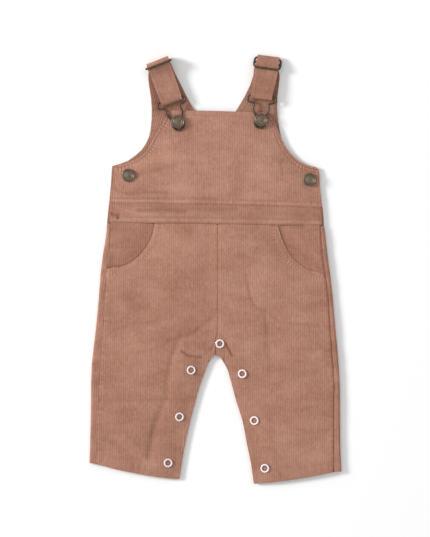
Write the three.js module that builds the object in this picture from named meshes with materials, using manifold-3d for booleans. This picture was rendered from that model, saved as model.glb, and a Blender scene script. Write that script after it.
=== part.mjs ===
// Toddler's corduroy overalls laid flat, straps towards +Y, front up, in millimetres.
// Left and right are as seen from above. The back panels lie on the surface at z = 0,
// the front panels lie over them, and the straps fold over at the top to the bib buttons.
import * as THREE from "three";
import { mergeVertices } from "three/addons/utils/BufferGeometryUtils.js";
import Module from "manifold-3d";

// Cloth
const clothThickness = 1.3; // one layer of corduroy
const bibThickness = 1.6; // the bib's front with its turned edges
const strapThickness = 1.8; // a strap is sewn double
const seamGap = 0.3; // between two pieces that are sewn together
const layerGap = 0.3; // between two pieces that lie on each other
const legHeight = 5.6; // of the folded side of a leg

// Metal and snaps
const wireRadius = 0.9; // sliders and buckles
const barRadius = 0.8; // a slider's middle bar
const buttonRadius = 7.1;
const buttonHeight = 2.6; // of a button's cap
const neckRadius = 2.4; // of the shank under a button's cap
const snapRadius = 4.95;
const snapHoleRadius = 2.75;
const snapHeight = 1.2;

const colours = {
  bib: 0xb48774,
  leg: 0xae7f6c,
  pocket: 0xa97766,
  back: 0xa6775f,
  strap: 0xaa7c6a,
  brass: 0x7b685a,
  snap: 0xf0eef5,
};

// Waist seams: y of the seam between bib and band, and between band and legs, at a given x.
const bandTopY = (x) => 71.2 - 0.0205 * x - 0.00006 * x * x;
const bandBottomY = (x) => 49.8 - 0.0146 * x - 0.00003 * x * x;

// A table is its columns' names and a row of values for each section.
const table = (names, rows) => rows.map((row) => Object.fromEntries(names.map((name, i) => [name, row[i]])));

// Creases: soft troughs through the listed points, or ridges where the depth is negative.
const creases = table(["name", "depth", "width", "points"], [
  ["left leg valley", 1.0, 6, [[-50, -84], [-54, -128], [-62, -156], [-71, -190], [-74, -212]]],
  ["left crotch fold", 0.9, 3.5, [[-35, -91], [-27, -95], [-16, -97]]],
  ["left crotch rise", 0.8, 6, [[-1, -53], [-16, -64], [-27, -71], [-50, -78]]],
  ["left knee press", 0.5, 6, [[-124, -147], [-58, -147]]],
  ["left thigh press", 0.4, 6, [[-118, -58], [-62, -58]]],
  ["right thigh fold", 1.0, 5, [[34, -8], [40, -34], [50, -45], [61, -49], [73, -58], [112, -63]]],
  ["right thigh valley", 0.7, 5, [[54, -47], [57, -68], [56, -88]]],
  ["right crotch fold", 0.9, 3, [[13, -76], [16, -89], [18, -98]]],
  ["right knee ridge", -0.25, 8, [[70, -150], [84, -190]]],
  ["bib corner fold", 0.6, 3, [[72, 117], [74, 103]]],
  ["bib side ripple", 0.5, 5, [[-100, 84], [-80, 80], [-58, 83]]],
  ["bib lower ripple", 0.4, 4, [[60, 88], [84, 92], [100, 88]]],
]);

const smooth = (t) => {
  const c = Math.min(1, Math.max(0, t));
  return c * c * (3 - 2 * c);
};
const mix = (a, b, t) => a + (b - a) * t;

function distanceToPath(points, x, y) {
  let nearest = Infinity;
  for (let i = 1; i < points.length; i++) {
    const [ax, ay] = points[i - 1];
    const [bx, by] = points[i];
    const lengthSquared = (bx - ax) ** 2 + (by - ay) ** 2;
    const along = ((x - ax) * (bx - ax) + (y - ay) * (by - ay)) / lengthSquared;
    const t = Math.min(1, Math.max(0, along));
    nearest = Math.min(nearest, Math.hypot(x - mix(ax, bx, t), y - mix(ay, by, t)));
  }
  return nearest;
}

function creaseHeight(x, y) {
  let height = 0;
  for (const crease of creases) {
    const distance = distanceToPath(crease.points, x, y) / crease.width;
    height -= crease.depth * Math.exp(-distance * distance);
  }
  return height;
}

// A closed wall between two equal grids of points, [row][column], with its faces outwards.
function wallBetween(outer, inner) {
  const rows = outer.length;
  const columns = outer[0].length;
  const positions = [...outer.flat(), ...inner.flat()].flatMap((p) => [p.x, p.y, p.z]);
  const index = [];
  const at = (layer, r, c) => (layer * rows + r) * columns + c;
  const quad = (a, b, c, d) => index.push(a, b, c, a, c, d);
  for (let r = 1; r < rows; r++) {
    for (let c = 1; c < columns; c++) {
      quad(at(0, r - 1, c - 1), at(0, r, c - 1), at(0, r, c), at(0, r - 1, c));
      quad(at(1, r - 1, c - 1), at(1, r - 1, c), at(1, r, c), at(1, r, c - 1));
    }
    quad(at(0, r, 0), at(0, r - 1, 0), at(1, r - 1, 0), at(1, r, 0));
    quad(at(0, r - 1, columns - 1), at(0, r, columns - 1), at(1, r, columns - 1), at(1, r - 1, columns - 1));
  }
  for (let c = 1; c < columns; c++) {
    quad(at(0, 0, c - 1), at(0, 0, c), at(1, 0, c), at(1, 0, c - 1));
    quad(at(0, rows - 1, c), at(0, rows - 1, c - 1), at(1, rows - 1, c - 1), at(1, rows - 1, c));
  }
  return facingOut(positions, index);
}

function facingOut(positions, index) {
  const corner = (i) => new THREE.Vector3().fromArray(positions, index[i] * 3);
  let volume = 0;
  for (let i = 0; i < index.length; i += 3) {
    volume += corner(i).dot(corner(i + 1).cross(corner(i + 2)));
  }
  const geometry = new THREE.BufferGeometry();
  geometry.setAttribute("position", new THREE.Float32BufferAttribute(positions, 3));
  geometry.setIndex(volume < 0 ? index.reverse() : index);
  geometry.computeVertexNormals();
  return geometry;
}

// The rows of a table with rows between them, on a smooth curve through each column's values.
function fillRows(sections, between) {
  const names = Object.keys(sections[0]);
  const last = sections.length - 1;
  const filled = [];
  for (let i = 0; i < last; i++) {
    const near = [i - 1, i, i + 1, i + 2].map((k) => sections[Math.min(last, Math.max(0, k))]);
    for (let k = 0; k <= between; k++) {
      const t = k / (between + 1);
      const row = {};
      for (const name of names) {
        const [p0, p1, p2, p3] = near.map((r) => r[name]);
        const slopeIn = limitedSlope(p1 - p0, p2 - p1);
        const slopeOut = limitedSlope(p2 - p1, p3 - p2);
        row[name] = hermite(p1, p2, slopeIn, slopeOut, t);
      }
      filled.push(row);
    }
  }
  filled.push(sections[last]);
  return filled;
}

// A slope that never overshoots, so that a curve keeps between its rows.
const limitedSlope = (before, after) => (before * after <= 0 ? 0 : (2 * before * after) / (before + after));

function hermite(from, to, slopeIn, slopeOut, t) {
  const t2 = t * t;
  const t3 = t2 * t;
  const ends = (2 * t3 - 3 * t2 + 1) * from + (3 * t2 - 2 * t3) * to;
  return ends + (t3 - 2 * t2 + t) * slopeIn + (t3 - t2) * slopeOut;
}

// A panel lying face up. Each row runs from its left end to its right end, bows by sag in the
// middle, and reaches its middle height within rise millimetres of either end.
const panelColumns = ["leftX", "leftY", "leftZ", "rightX", "rightY", "rightZ", "middleZ", "sag"];
function panelGrid(sections, { columns, between, rise, lift = creaseHeight, trim = () => {} }) {
  return fillRows(sections, between).map((row) => {
    trim(row);
    const width = row.rightX - row.leftX;
    const points = [];
    for (let c = 0; c <= columns; c++) {
      const u = c / columns;
      const x = mix(row.leftX, row.rightX, u);
      const y = mix(row.leftY, row.rightY, u) + row.sag * 4 * u * (1 - u);
      const nearLeft = 1 - smooth((u * width) / rise);
      const nearRight = 1 - smooth(((1 - u) * width) / rise);
      const edges = (row.leftZ - row.middleZ) * nearLeft + (row.rightZ - row.middleZ) * nearRight;
      const z = row.middleZ + edges + lift(x, y) * (1 - Math.max(nearLeft, nearRight));
      points.push(new THREE.Vector3(x, y, z));
    }
    return points;
  });
}

const lowered = (grid, thickness) =>
  grid.map((row) => row.map((p) => new THREE.Vector3(p.x, p.y, p.z - thickness)));

// The height of a grid's surface at x and y, from the cell that holds them.
function heightOn(grid, x, y) {
  const point = new THREE.Vector3(x, y, 0);
  const weights = new THREE.Vector3();
  for (let r = 1; r < grid.length; r++) {
    for (let c = 1; c < grid[r].length; c++) {
      const cell = [grid[r - 1][c - 1], grid[r - 1][c], grid[r][c], grid[r][c - 1]];
      for (const [a, b, d] of [[cell[0], cell[1], cell[2]], [cell[0], cell[2], cell[3]]]) {
        const flat = [a, b, d].map((p) => new THREE.Vector3(p.x, p.y, 0));
        if (!THREE.Triangle.getBarycoord(point, ...flat, weights)) continue;
        if (Math.min(weights.x, weights.y, weights.z) < 0) continue;
        return weights.x * a.z + weights.y * b.z + weights.z * d.z;
      }
    }
  }
  throw new Error(`no surface at ${x}, ${y}`);
}

const overalls = new THREE.Group();
overalls.name = "overalls";

const materials = {};
for (const [name, color] of Object.entries(colours)) {
  const [roughness, metalness] = name === "brass" ? [0.45, 0.9] : [0.95, 0];
  materials[name] = new THREE.MeshStandardMaterial({ color, roughness, metalness });
}

function add(name, geometry, material) {
  const mesh = new THREE.Mesh(geometry, materials[material].clone());
  mesh.name = name;
  overalls.add(mesh);
  return mesh;
}

// Side seams on the front, from the waist to the hem, as x and y.
const sideSeamLeft = [[-115.6, 50], [-116.4, 36], [-117.6, 20], [-119.6, -2], [-121.4, -32], [-123.4, -62],
  [-125.8, -95], [-127.8, -128], [-129.4, -162], [-130.2, -195], [-130.4, -216]];
const sideSeamRight = [[115.6, 50], [116.6, 36], [117.6, 18], [120.8, -4], [124.4, -34], [126.2, -62],
  [128.4, -93], [130.8, -128], [130.4, -162], [130.4, -225]];

// The x of a line of points that runs down the garment, at y.
function lineX(line, y) {
  for (let i = 1; i < line.length; i++) {
    const [ax, ay] = line[i - 1];
    const [bx, by] = line[i];
    if (y <= ay && y >= by) return mix(ax, bx, (y - ay) / (by - ay));
  }
  return y > line[0][1] ? line[0][0] : line[line.length - 1][0];
}

// Back legs: each lies on the surface, turns up at the outer side and ends on the front
// at the side seam. Outer is the fold, inner the centre seam and the inseam.
const backLegColumns = ["outerX", "outerY", "innerX", "innerY"];
const backLegLeft = table(backLegColumns, [
  [-119.3, 49.4, 1.2, 48.2],
  [-120.3, 36, 1.2, 36],
  [-123.2, 20, 1.2, 20],
  [-126.4, -2, 1.2, -2],
  [-128.2, -32, 1.2, -32],
  [-131.2, -62, 1.2, -62],
  [-134.6, -92, 1.2, -90],
  [-136, -102, -7.6, -101],
  [-137, -128, -17.6, -127],
  [-137, -162, -27.2, -163],
  [-138, -195, -35.2, -201],
  [-138.6, -213.4, -40.4, -230.2],
]);
const backLegRight = table(backLegColumns, [
  [119.4, 46.9, 1.6, 48.2],
  [121.2, 36, 1.6, 36],
  [122.7, 18, 1.6, 20],
  [126, -4, 1.6, -2],
  [129.3, -34, 1.6, -32],
  [131.5, -62, 1.6, -62],
  [134.6, -93, 1.6, -94],
  [135.6, -108, 13.2, -107],
  [137, -128, 18.8, -127],
  [137, -162, 29.4, -163],
  [137.2, -198, 37.4, -204],
  [138.6, -222.6, 42.8, -234.8],
]);

function backLeg(sections, sideSeam) {
  const side = Math.sign(sections[0].outerX);
  const foldRadius = legHeight / 2;
  const flatColumns = 7;
  const foldSteps = 6;
  const outer = [];
  const inner = [];
  for (const row of sections) {
    const outside = [];
    const inside = [];
    const foldX = row.outerX - side * foldRadius;
    for (let c = 0; c <= flatColumns; c++) {
      const u = c / flatColumns;
      const x = mix(row.innerX, foldX, u);
      const y = mix(row.innerY, row.outerY, u);
      outside.push(new THREE.Vector3(x, y, 0));
      inside.push(new THREE.Vector3(x, y, clothThickness));
    }
    for (let k = 1; k <= foldSteps; k++) {
      const angle = (Math.PI * k) / foldSteps;
      for (const [points, radius] of [[outside, foldRadius], [inside, foldRadius - clothThickness]]) {
        const x = foldX + side * radius * Math.sin(angle);
        points.push(new THREE.Vector3(x, row.outerY, foldRadius - radius * Math.cos(angle)));
      }
    }
    const seam = new THREE.Vector3(lineX(sideSeam, row.outerY), row.outerY, legHeight);
    outside.push(seam);
    inside.push(seam.clone().setZ(legHeight - clothThickness));
    outer.push(outside);
    inner.push(inside);
  }
  return wallBetween(outer, inner);
}

add("back_leg_left", backLeg(backLegLeft, sideSeamLeft), "back");
add("back_leg_right", backLeg(backLegRight, sideSeamRight), "back");

// Back bib, flat on the surface, and the two back straps that taper up from it.
const flatColumns = ["leftX", "leftY", "rightX", "rightY"];
const backBib = table(flatColumns, [
  [-71.3, 152.8, 70.5, 152.8],
  [-73, 145, 72, 144],
  [-76.5, 137.5, 75.4, 137],
  [-81, 130.9, 79.6, 129.6],
  [-88.5, 124.3, 86, 121.8],
  [-96.5, 118.6, 93.5, 116.2],
  [-105, 115.4, 103, 112.8],
  [-113.6, 113, 111.4, 110.4],
  [-114, 107, 113.6, 104],
  [-115, 91, 114, 90],
  [-116.2, 78, 116, 77],
  [-117.8, 64, 118, 63],
  [-119.2, 49.8, 119.3, 47.4],
]);
const backStrapLeft = table(flatColumns, [
  [-73.6, 216.2, -48.9, 225.8],
  [-73.8, 209, -44.4, 214.5],
  [-72.6, 200, -38.4, 203],
  [-70.8, 189, -32.2, 190],
  [-69.9, 177, -24.8, 177],
  [-70, 165, -16.5, 165],
  [-71.2, 153.1, -6.5, 153.1],
]);
const backStrapRight = table(flatColumns, [
  [42.3, 220.6, 69.6, 217.1],
  [41.8, 213, 70.4, 211],
  [38.6, 203, 69.6, 203],
  [32.4, 190, 67.9, 190],
  [24.8, 177, 67.5, 177],
  [16.5, 165, 68.4, 165],
  [6.5, 153.1, 70.3, 153.1],
]);

function flatPiece(name, sections, thickness, columns) {
  const shares = Array.from({ length: columns + 1 }, (_, c) => c / columns);
  const top = sections.map((row) => {
    const left = new THREE.Vector3(row.leftX, row.leftY, thickness);
    const right = new THREE.Vector3(row.rightX, row.rightY, thickness);
    return shares.map((u) => left.clone().lerp(right, u));
  });
  add(name, wallBetween(top, lowered(top, thickness)), "back");
}

flatPiece("back_bib", backBib, clothThickness, 10);
flatPiece("back_strap_left", backStrapLeft, strapThickness, 4);
flatPiece("back_strap_right", backStrapRight, strapThickness, 4);

// Front legs: the scooped pocket edge and the side seam outside, the centre seam and the
// inseam inside. The first rows end at the band, the last is the hem.
const leftPocketEnd = 0.2;
const rightPocketEnd = -6.6;
const frontLegLeft = table(panelColumns, [
  [-66.9, bandBottomY(-66.9) - seamGap, 5.3, 1.1, bandBottomY(1) - seamGap, 5.8, 5.8, 0.1],
  [-68.8, 39.6, 5.3, 1.1, 39.6, 5.9, 6.1, 0],
  [-73.4, 28.6, 5.2, 1.1, 29.5, 5.9, 6.2, 0],
  [-79.8, 19.4, 5.2, 1.1, 20.5, 5.9, 6.2, 0],
  [-88.9, 10.2, 5.2, 1.1, 12, 5.9, 6.2, 0],
  [-97.9, 4.8, 5.2, 1.1, 4, 5.9, 6.2, 0],
  [-107.3, 2.2, 5.3, 1.1, -4, 5.9, 6.2, -1],
  [-119.4, leftPocketEnd, 5.5, 1.1, -12, 5.9, 6.2, -2],
  [-120.2, -14, 5.6, 1.1, -24, 5.8, 6.2, -1],
  [-121.2, -34, 5.6, 1.1, -40, 5.8, 6.2, 0],
  [-123, -58, 5.6, 1.1, -57, 5.7, 6.2, 0],
  [-124.2, -74, 5.6, 1.1, -70, 5.6, 6.2, 0],
  [-124.7, -80, 5.6, -0.9, -76, 5.3, 6.2, 0],
  [-125.8, -95, 5.6, -0.9, -94.2, 4, 6.3, 0],
  [-126.2, -98, 5.6, -4.2, -97, 3.8, 6.3, 0],
  [-126.6, -102, 5.6, -7.2, -100.2, 3.6, 6.3, 0],
  [-127, -109, 5.6, -9.6, -107, 3.4, 6.3, 0],
  [-127.8, -127, 5.6, -17.2, -127, 3.3, 6.3, 0],
  [-128.6, -146, 5.6, -22.5, -146, 3.3, 6.3, 0],
  [-129.5, -168, 5.6, -28.6, -169, 3.3, 6.3, 0],
  [-130, -189, 5.6, -33.6, -192, 3.3, 6.3, -1],
  [-130.1, -204, 5.6, -37.2, -212, 3.3, 6.3, -1.6],
  [-130.1, -214.3, 5.6, -40, -230.7, 3.3, 5.6, -2.2],
]);
const frontLegRight = table(panelColumns, [
  [1.7, bandBottomY(2) - seamGap, 5.8, 68.1, bandBottomY(68.1) - seamGap, 5.3, 5.8, 0.1],
  [1.7, 39.6, 5.9, 70.8, 39, 5.3, 6.1, 0],
  [1.7, 28, 5.9, 75.4, 26.7, 5.2, 6.2, 0],
  [1.7, 18, 5.9, 82.6, 14, 5.2, 6.2, 0],
  [1.7, 8.5, 5.9, 91.9, 4.8, 5.2, 6.2, 0],
  [1.7, 0, 5.9, 102.7, -1.6, 5.3, 6.2, -0.5],
  [1.7, -10, 5.9, 120.6, rightPocketEnd, 5.5, 6.2, -2],
  [1.7, -24, 5.8, 122.4, -22, 5.6, 6.2, -1],
  [1.7, -40, 5.8, 124.2, -40, 5.6, 6.2, 0],
  [1.7, -56, 5.7, 125.4, -60, 5.6, 6.2, 0],
  [1.7, -69, 5.6, 126.4, -74, 5.6, 6.2, 0],
  [8.2, -71.8, 5.5, 126.7, -78, 5.6, 6.2, 0],
  [10.2, -78, 5.3, 127.2, -85, 5.6, 6.2, 0],
  [10.2, -99.4, 4, 128.6, -103, 5.6, 6.3, 0],
  [12.6, -106.7, 3.5, 129.2, -110, 5.6, 6.3, 0],
  [18.2, -126.5, 3.3, 130.4, -128, 5.6, 6.3, 0],
  [23.4, -146, 3.3, 130.4, -146, 5.6, 6.3, 0],
  [30.4, -168, 3.3, 130.1, -168, 5.6, 6.3, 0],
  [34.6, -191, 3.3, 130.1, -190, 5.6, 6.3, -0.5],
  [39.4, -214, 3.3, 130.1, -208, 5.6, 6, -1],
  [42.4, -235.9, 3.3, 130.1, -222.8, 5.6, 5.6, -1.6],
]);
const legSettings = { columns: 11, between: 1, rise: 24 };
const trimLeft = (row) => {
  if (row.leftY <= leftPocketEnd) row.leftX = lineX(sideSeamLeft, row.leftY) + seamGap;
};
const trimRight = (row) => {
  if (row.rightY <= rightPocketEnd) row.rightX = lineX(sideSeamRight, row.rightY) - seamGap;
};
const legLeftGrid = panelGrid(frontLegLeft, { ...legSettings, trim: trimLeft });
const legRightGrid = panelGrid(frontLegRight, { ...legSettings, trim: trimRight });
add("front_leg_left", wallBetween(legLeftGrid, lowered(legLeftGrid, clothThickness)), "leg");
add("front_leg_right", wallBetween(legRightGrid, lowered(legRightGrid, clothThickness)), "leg");

// Crotch tab, between the two front legs under the centre snap.
const crotchTab = table(panelColumns, [
  [1.8, -72.4, 5, 7.2, -73, 5, 5.1, 0],
  [-0.5, -77.5, 4.8, 9.8, -78.5, 4.8, 5.1, 0],
  [-0.5, -88, 4, 9.8, -88, 4, 4.3, 0],
  [-0.4, -93.9, 3, 9.8, -98.8, 3, 3.2, 0],
]);
const tabGrid = panelGrid(crotchTab, { columns: 4, between: 1, rise: 4, lift: () => 0 });
add("crotch_tab", wallBetween(tabGrid, lowered(tabGrid, clothThickness)), "leg");

// Hip pieces: under the pocket edge they lie below the leg, and outside it they rise to the
// band and the side seam. The pocket edge is the outer column of the leg's first rows.
const underLegZ = 3.4;
const underPocket = 12; // how far a hip piece reaches down under the pocket edge
const hipColumns = ["sideY", "sideZ", "pocketX", "pocketY"];
function hipPiece(sections, pocketEdge, sideSeam, side) {
  const grid = fillRows(sections, 1).map((row) => {
    const points = [];
    const columns = 9;
    for (let c = 0; c <= columns; c++) {
      const u = c / columns;
      const x = mix(lineX(sideSeam, row.sideY) - side * seamGap, row.pocketX, u);
      const y = mix(row.sideY, row.pocketY, u);
      const beyond = side * x - side * lineX(pocketEdge, y);
      const outsideShare = smooth((beyond - 1) / 13);
      points.push(new THREE.Vector3(x, y, mix(underLegZ, row.sideZ, outsideShare)));
    }
    return points;
  });
  return wallBetween(grid, lowered(grid, clothThickness));
}

const hipLeft = table(hipColumns, [
  [50.6, 5.2, -55, 49.6],
  [38, 5.3, -57, 38],
  [25, 5.3, -61, 24],
  [14, 5.2, -69, 10],
  [5, 4.6, -82, 0],
  [-2, 3.8, -97, -7],
  [-11, 3.4, -112, -underPocket],
]);
const hipRight = table(hipColumns, [
  [47.2, 5.2, 56, 48.2],
  [36, 5.3, 58.5, 37],
  [24, 5.3, 63, 22],
  [12, 5.2, 72, 6],
  [2, 4.8, 86, -6],
  [-8, 3.8, 101, -13],
  [-17, 3.4, 113, rightPocketEnd - underPocket],
]);
const pocketRows = 8;
const leftPocketEdge = frontLegLeft.slice(0, pocketRows).map((row) => [row.leftX, row.leftY]);
const rightPocketEdge = frontLegRight.slice(0, pocketRows - 1).map((row) => [row.rightX, row.rightY]);
add("hip_left", hipPiece(hipLeft, leftPocketEdge, sideSeamLeft, -1), "pocket");
add("hip_right", hipPiece(hipRight, rightPocketEdge, sideSeamRight, 1), "pocket");

// Waistband: its ends lie low over the back bib at the side openings.
const bandLeft = -115.6;
const bandRight = 116.2;
const bandRow = (yAt, inset, endZ, middleZ) => {
  const leftY = yAt(bandLeft) + inset;
  const rightY = yAt(bandRight) + inset;
  const sag = yAt(0) + inset - mix(leftY, rightY, 0.5);
  return { leftX: bandLeft, leftY, leftZ: endZ, rightX: bandRight, rightY, rightZ: endZ, middleZ, sag };
};
const waistband = [bandRow(bandTopY, -seamGap, 4.2, 6.2), bandRow(bandBottomY, 0, 5, 6.4)];
const bandGrid = panelGrid(waistband, { columns: 22, between: 3, rise: 26 });
add("waistband", wallBetween(bandGrid, lowered(bandGrid, bibThickness)), "bib");

// Front bib: armhole edges and sides lie low over the back, the middle stands higher.
const frontBib = table(panelColumns, [
  [-50.4, 174.4, 4.4, 56, 171.7, 4.4, 4.8, 0.3],
  [-52.9, 170.4, 4.4, 58.6, 169, 4.4, 5, 0],
  [-56.7, 162.8, 4.3, 63.4, 163, 4.3, 5.1, 0],
  [-61.4, 155, 4.2, 68.3, 153.3, 4.2, 5.2, 0],
  [-67.7, 144.7, 3.8, 72, 144.4, 3.8, 5.4, 0],
  [-73.2, 133.6, 3.6, 77, 134, 3.6, 5.6, 0],
  [-80.2, 125.2, 3.6, 84, 125, 3.6, 5.8, 0],
  [-88.9, 119.9, 3.6, 91.9, 118, 3.6, 5.9, -1],
  [-99.5, 115.6, 3.6, 101, 113.6, 3.6, 6, -2],
  [-109.6, 113.6, 3.6, 111.6, 111.2, 3.6, 6, -4],
  [-111, 107, 3.6, 114, 104.5, 3.6, 6, -3],
  [-113, 94, 3.7, 114.3, 92, 3.7, 6.1, -1],
  [-114.6, 83, 3.9, 115.4, 80, 3.9, 6.2, 0.5],
  [-115.4, bandTopY(-115.4), 4.2, 116.4, bandTopY(116.4), 4.2, 6.2, 0.8],
]);
const bibGrid = panelGrid(frontBib, { columns: 16, between: 1, rise: 22 });
add("front_bib", wallBetween(bibGrid, lowered(bibGrid, bibThickness)), "bib");

// Straps: a doubled ribbon that folds over at the top, runs down the front, turns round the
// buckle's bar and returns below to the slider. Down is the distance from the top fold, and
// barDown that of the buckle's bar.
const routeColumns = ["down", "z", "width"];
const strapLeft = {
  top: new THREE.Vector2(-64.2, 229.4),
  lean: 19.5,
  barDown: 46.2,
  topTurn: 21.5,
  endTurn: 20,
  route: table(routeColumns, [
    [8.4, 0.9, 26.4], [5, 0.9, 26], [2.6, 1.3, 25.6], [1.2, 3.2, 25.4], [0.9, 7, 25.4],
    [1.2, 11, 25.2], [2.9, 13.2, 25], [6.1, 13.3, 25.2], [10, 12, 25.6], [14, 9.9, 25.6],
    [19, 8.2, 25], [28, 7.6, 24.6], [38, 8, 24.2], [44, 8.4, 24],
  ]),
  back: table(routeColumns, [
    [42, 4.1, 23.4], [34, 3.6, 23.4], [24, 3.9, 23.4], [17.6, 5, 23.4], [13, 6.7, 23.4], [9.4, 8.2, 23.4],
    [7.2, 9, 23.4],
  ]),
};
const strapRight = {
  top: new THREE.Vector2(58.5, 233.8),
  lean: -10.2,
  barDown: 44.6,
  topTurn: -7.4,
  endTurn: -7,
  route: table(routeColumns, [
    [14.5, 0.9, 26.6], [8, 0.9, 25.6], [2.4, 0.9, 24.4], [0.9, 1.5, 24.2], [0.3, 3, 24.2],
    [0.9, 4.5, 24.2], [2.4, 5.3, 24.2], [5.2, 7, 24.4], [8.3, 8.2, 24.8], [11, 7.9, 25.2],
    [14.2, 6.6, 25.6], [18, 6.5, 26], [26, 7, 25.4], [35, 7.6, 24.4], [42, 8.3, 23.6],
  ]),
  back: table(routeColumns, [
    [40, 4.1, 23], [32, 3.6, 23], [22, 3.5, 23], [14, 3.7, 23], [11.2, 4.5, 23], [9.5, 5.3, 23],
  ]),
};
const barZ = 6.3; // height of a buckle's bar
const turnHeight = 2.1; // from the bar's centre to the middle of the ribbon over and under it
const turnReach = 3.3; // from the bar's centre to the middle of the ribbon's lower fold

const radians = THREE.MathUtils.degToRad;
const downwards = (strap) => new THREE.Vector2(Math.sin(radians(strap.lean)), -Math.cos(radians(strap.lean)));

function strapRoute(strap) {
  const turn = [];
  const steps = 6;
  for (let k = 0; k <= steps; k++) {
    const angle = Math.PI / 2 - (Math.PI * k) / steps;
    const down = strap.barDown + turnReach * Math.cos(angle);
    turn.push({ down, z: barZ + turnHeight * Math.sin(angle), width: 23.6 });
  }
  return [...strap.route, ...turn, ...strap.back];
}

function strapSolid(strap) {
  const stations = strapRoute(strap);
  const direction = downwards(strap);
  const sides = { outer: [], inner: [] };
  stations.forEach((station, i) => {
    const before = stations[Math.max(i - 1, 0)];
    const after = stations[Math.min(i + 1, stations.length - 1)];
    const run = new THREE.Vector2(after.down - before.down, after.z - before.z).normalize();
    const turned = mix(strap.topTurn, strap.endTurn, Math.min(1, station.down / strap.barDown));
    const across = new THREE.Vector2(Math.cos(radians(turned)), Math.sin(radians(turned)));
    for (const [side, offset] of [[sides.outer, strapThickness / 2], [sides.inner, -strapThickness / 2]]) {
      const down = station.down + run.y * offset;
      const z = station.z - run.x * offset;
      const points = [];
      for (const share of [-0.5, -0.17, 0.17, 0.5]) {
        const x = strap.top.x + direction.x * down + across.x * share * station.width;
        const y = strap.top.y + direction.y * down + across.y * share * station.width;
        points.push(new THREE.Vector3(x, y, z));
      }
      side.push(points);
    }
  });
  return wallBetween(sides.outer, sides.inner);
}

add("strap_left", strapSolid(strapLeft), "strap");
add("strap_right", strapSolid(strapRight), "strap");

const wasm = await Module();
wasm.setup();

function toSolid(geometry) {
  const bare = new THREE.BufferGeometry();
  bare.setAttribute("position", geometry.getAttribute("position"));
  bare.setIndex(geometry.index);
  const merged = mergeVertices(bare, 1e-3);
  return new wasm.Manifold(new wasm.Mesh({
    numProp: 3,
    vertProperties: merged.attributes.position.array,
    triVerts: new Uint32Array(merged.index.array),
  }));
}

function toGeometry(solid) {
  const mesh = solid.getMesh();
  const geometry = new THREE.BufferGeometry();
  geometry.setAttribute("position", new THREE.BufferAttribute(mesh.vertProperties, 3));
  geometry.setIndex(new THREE.BufferAttribute(mesh.triVerts, 1));
  geometry.computeVertexNormals();
  return geometry;
}

const wireSides = 6;
function closedWire(points, steps) {
  const curve = new THREE.CatmullRomCurve3(points, true, "centripetal");
  return new THREE.TubeGeometry(curve, steps, wireRadius, wireSides, true);
}

function straightWire(from, to) {
  const middle = new THREE.Vector3().addVectors(from, to).multiplyScalar(0.5);
  const along = new THREE.Vector3().subVectors(to, from);
  const bar = new THREE.CylinderGeometry(barRadius, barRadius, along.length(), wireSides);
  const turn = new THREE.Quaternion().setFromUnitVectors(new THREE.Vector3(0, 1, 0), along.normalize());
  return bar.applyQuaternion(turn).translate(middle.x, middle.y, middle.z);
}

// Sliders: a round-cornered frame with a middle bar. Near is the bar that lies over the front
// of the strap, far the one inside the strap's fold. The left one stands on edge.
const sliders = table(["name", "strap", "turned", "nearDown", "nearZ", "farDown", "farZ"], [
  ["slider_left", strapLeft, 21, 6.1, 15.8, 4.5, 3.3],
  ["slider_right", strapRight, -7.4, 14, 8.8, 2.4, 3],
]);
const sliderHalf = 14.4; // half of a slider's width, to the middle of its wire
const sliderCorner = 2.6;
// A quarter of the frame: share of the way from the far bar to the near one, and inset from the side.
const sliderQuarter = table(["share", "inset"], [[0, 6], [0, sliderCorner], [0.06, 0.75], [0.2, 0]]);

for (const slider of sliders) {
  const direction = downwards(slider.strap);
  const across = new THREE.Vector2(Math.cos(radians(slider.turned)), Math.sin(radians(slider.turned)));
  const place = (share, side) => {
    const down = mix(slider.farDown, slider.nearDown, share);
    const x = slider.strap.top.x + direction.x * down + across.x * side;
    const y = slider.strap.top.y + direction.y * down + across.y * side;
    return new THREE.Vector3(x, y, mix(slider.farZ, slider.nearZ, share));
  };
  const upwards = sliderQuarter.map((q) => ({ share: q.share, side: sliderHalf - q.inset }));
  const onwards = [...upwards].reverse().map((q) => ({ share: 1 - q.share, side: q.side }));
  const right = [...upwards, ...onwards];
  const left = [...right].reverse().map((q) => ({ share: q.share, side: -q.side }));
  const outline = [...right, ...left].map((q) => place(q.share, q.side));
  const frame = toSolid(closedWire(outline, 40));
  const bar = toSolid(straightWire(place(0.5, -sliderHalf), place(0.5, sliderHalf)));
  add(slider.name, toGeometry(frame.add(bar)), "brass");
}

// Buckles: one bent wire, a bar at the top, a loop at each end, and a long opening that
// narrows to a ring round the button. Half of the outline, from the bar's end downwards.
const buckleHalf = table(["x", "y"], [
  [11.8, 0], [14.6, -0.8], [15.8, -3.6], [14.6, -6.7], [11.4, -7.6], [8.5, -8.4], [7.8, -10.2],
  [8.7, -13.4], [8.2, -17], [6, -21], [5.8, -25], [6.3, -29.4], [4.3, -33.8],
]);
const ringBottom = -35.2;
const buckles = table(["name", "x", "y", "turned", "button", "buttonX", "buttonY"], [
  ["buckle_left", -49.8, 186.1, 18, "bib_button_left", -41.3, 161.5],
  ["buckle_right", 51.2, 190, -4.5, "bib_button_right", 50.2, 163.5],
]);
const buckleClearance = 0.6; // between the cloth and the wire round a button

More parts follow.
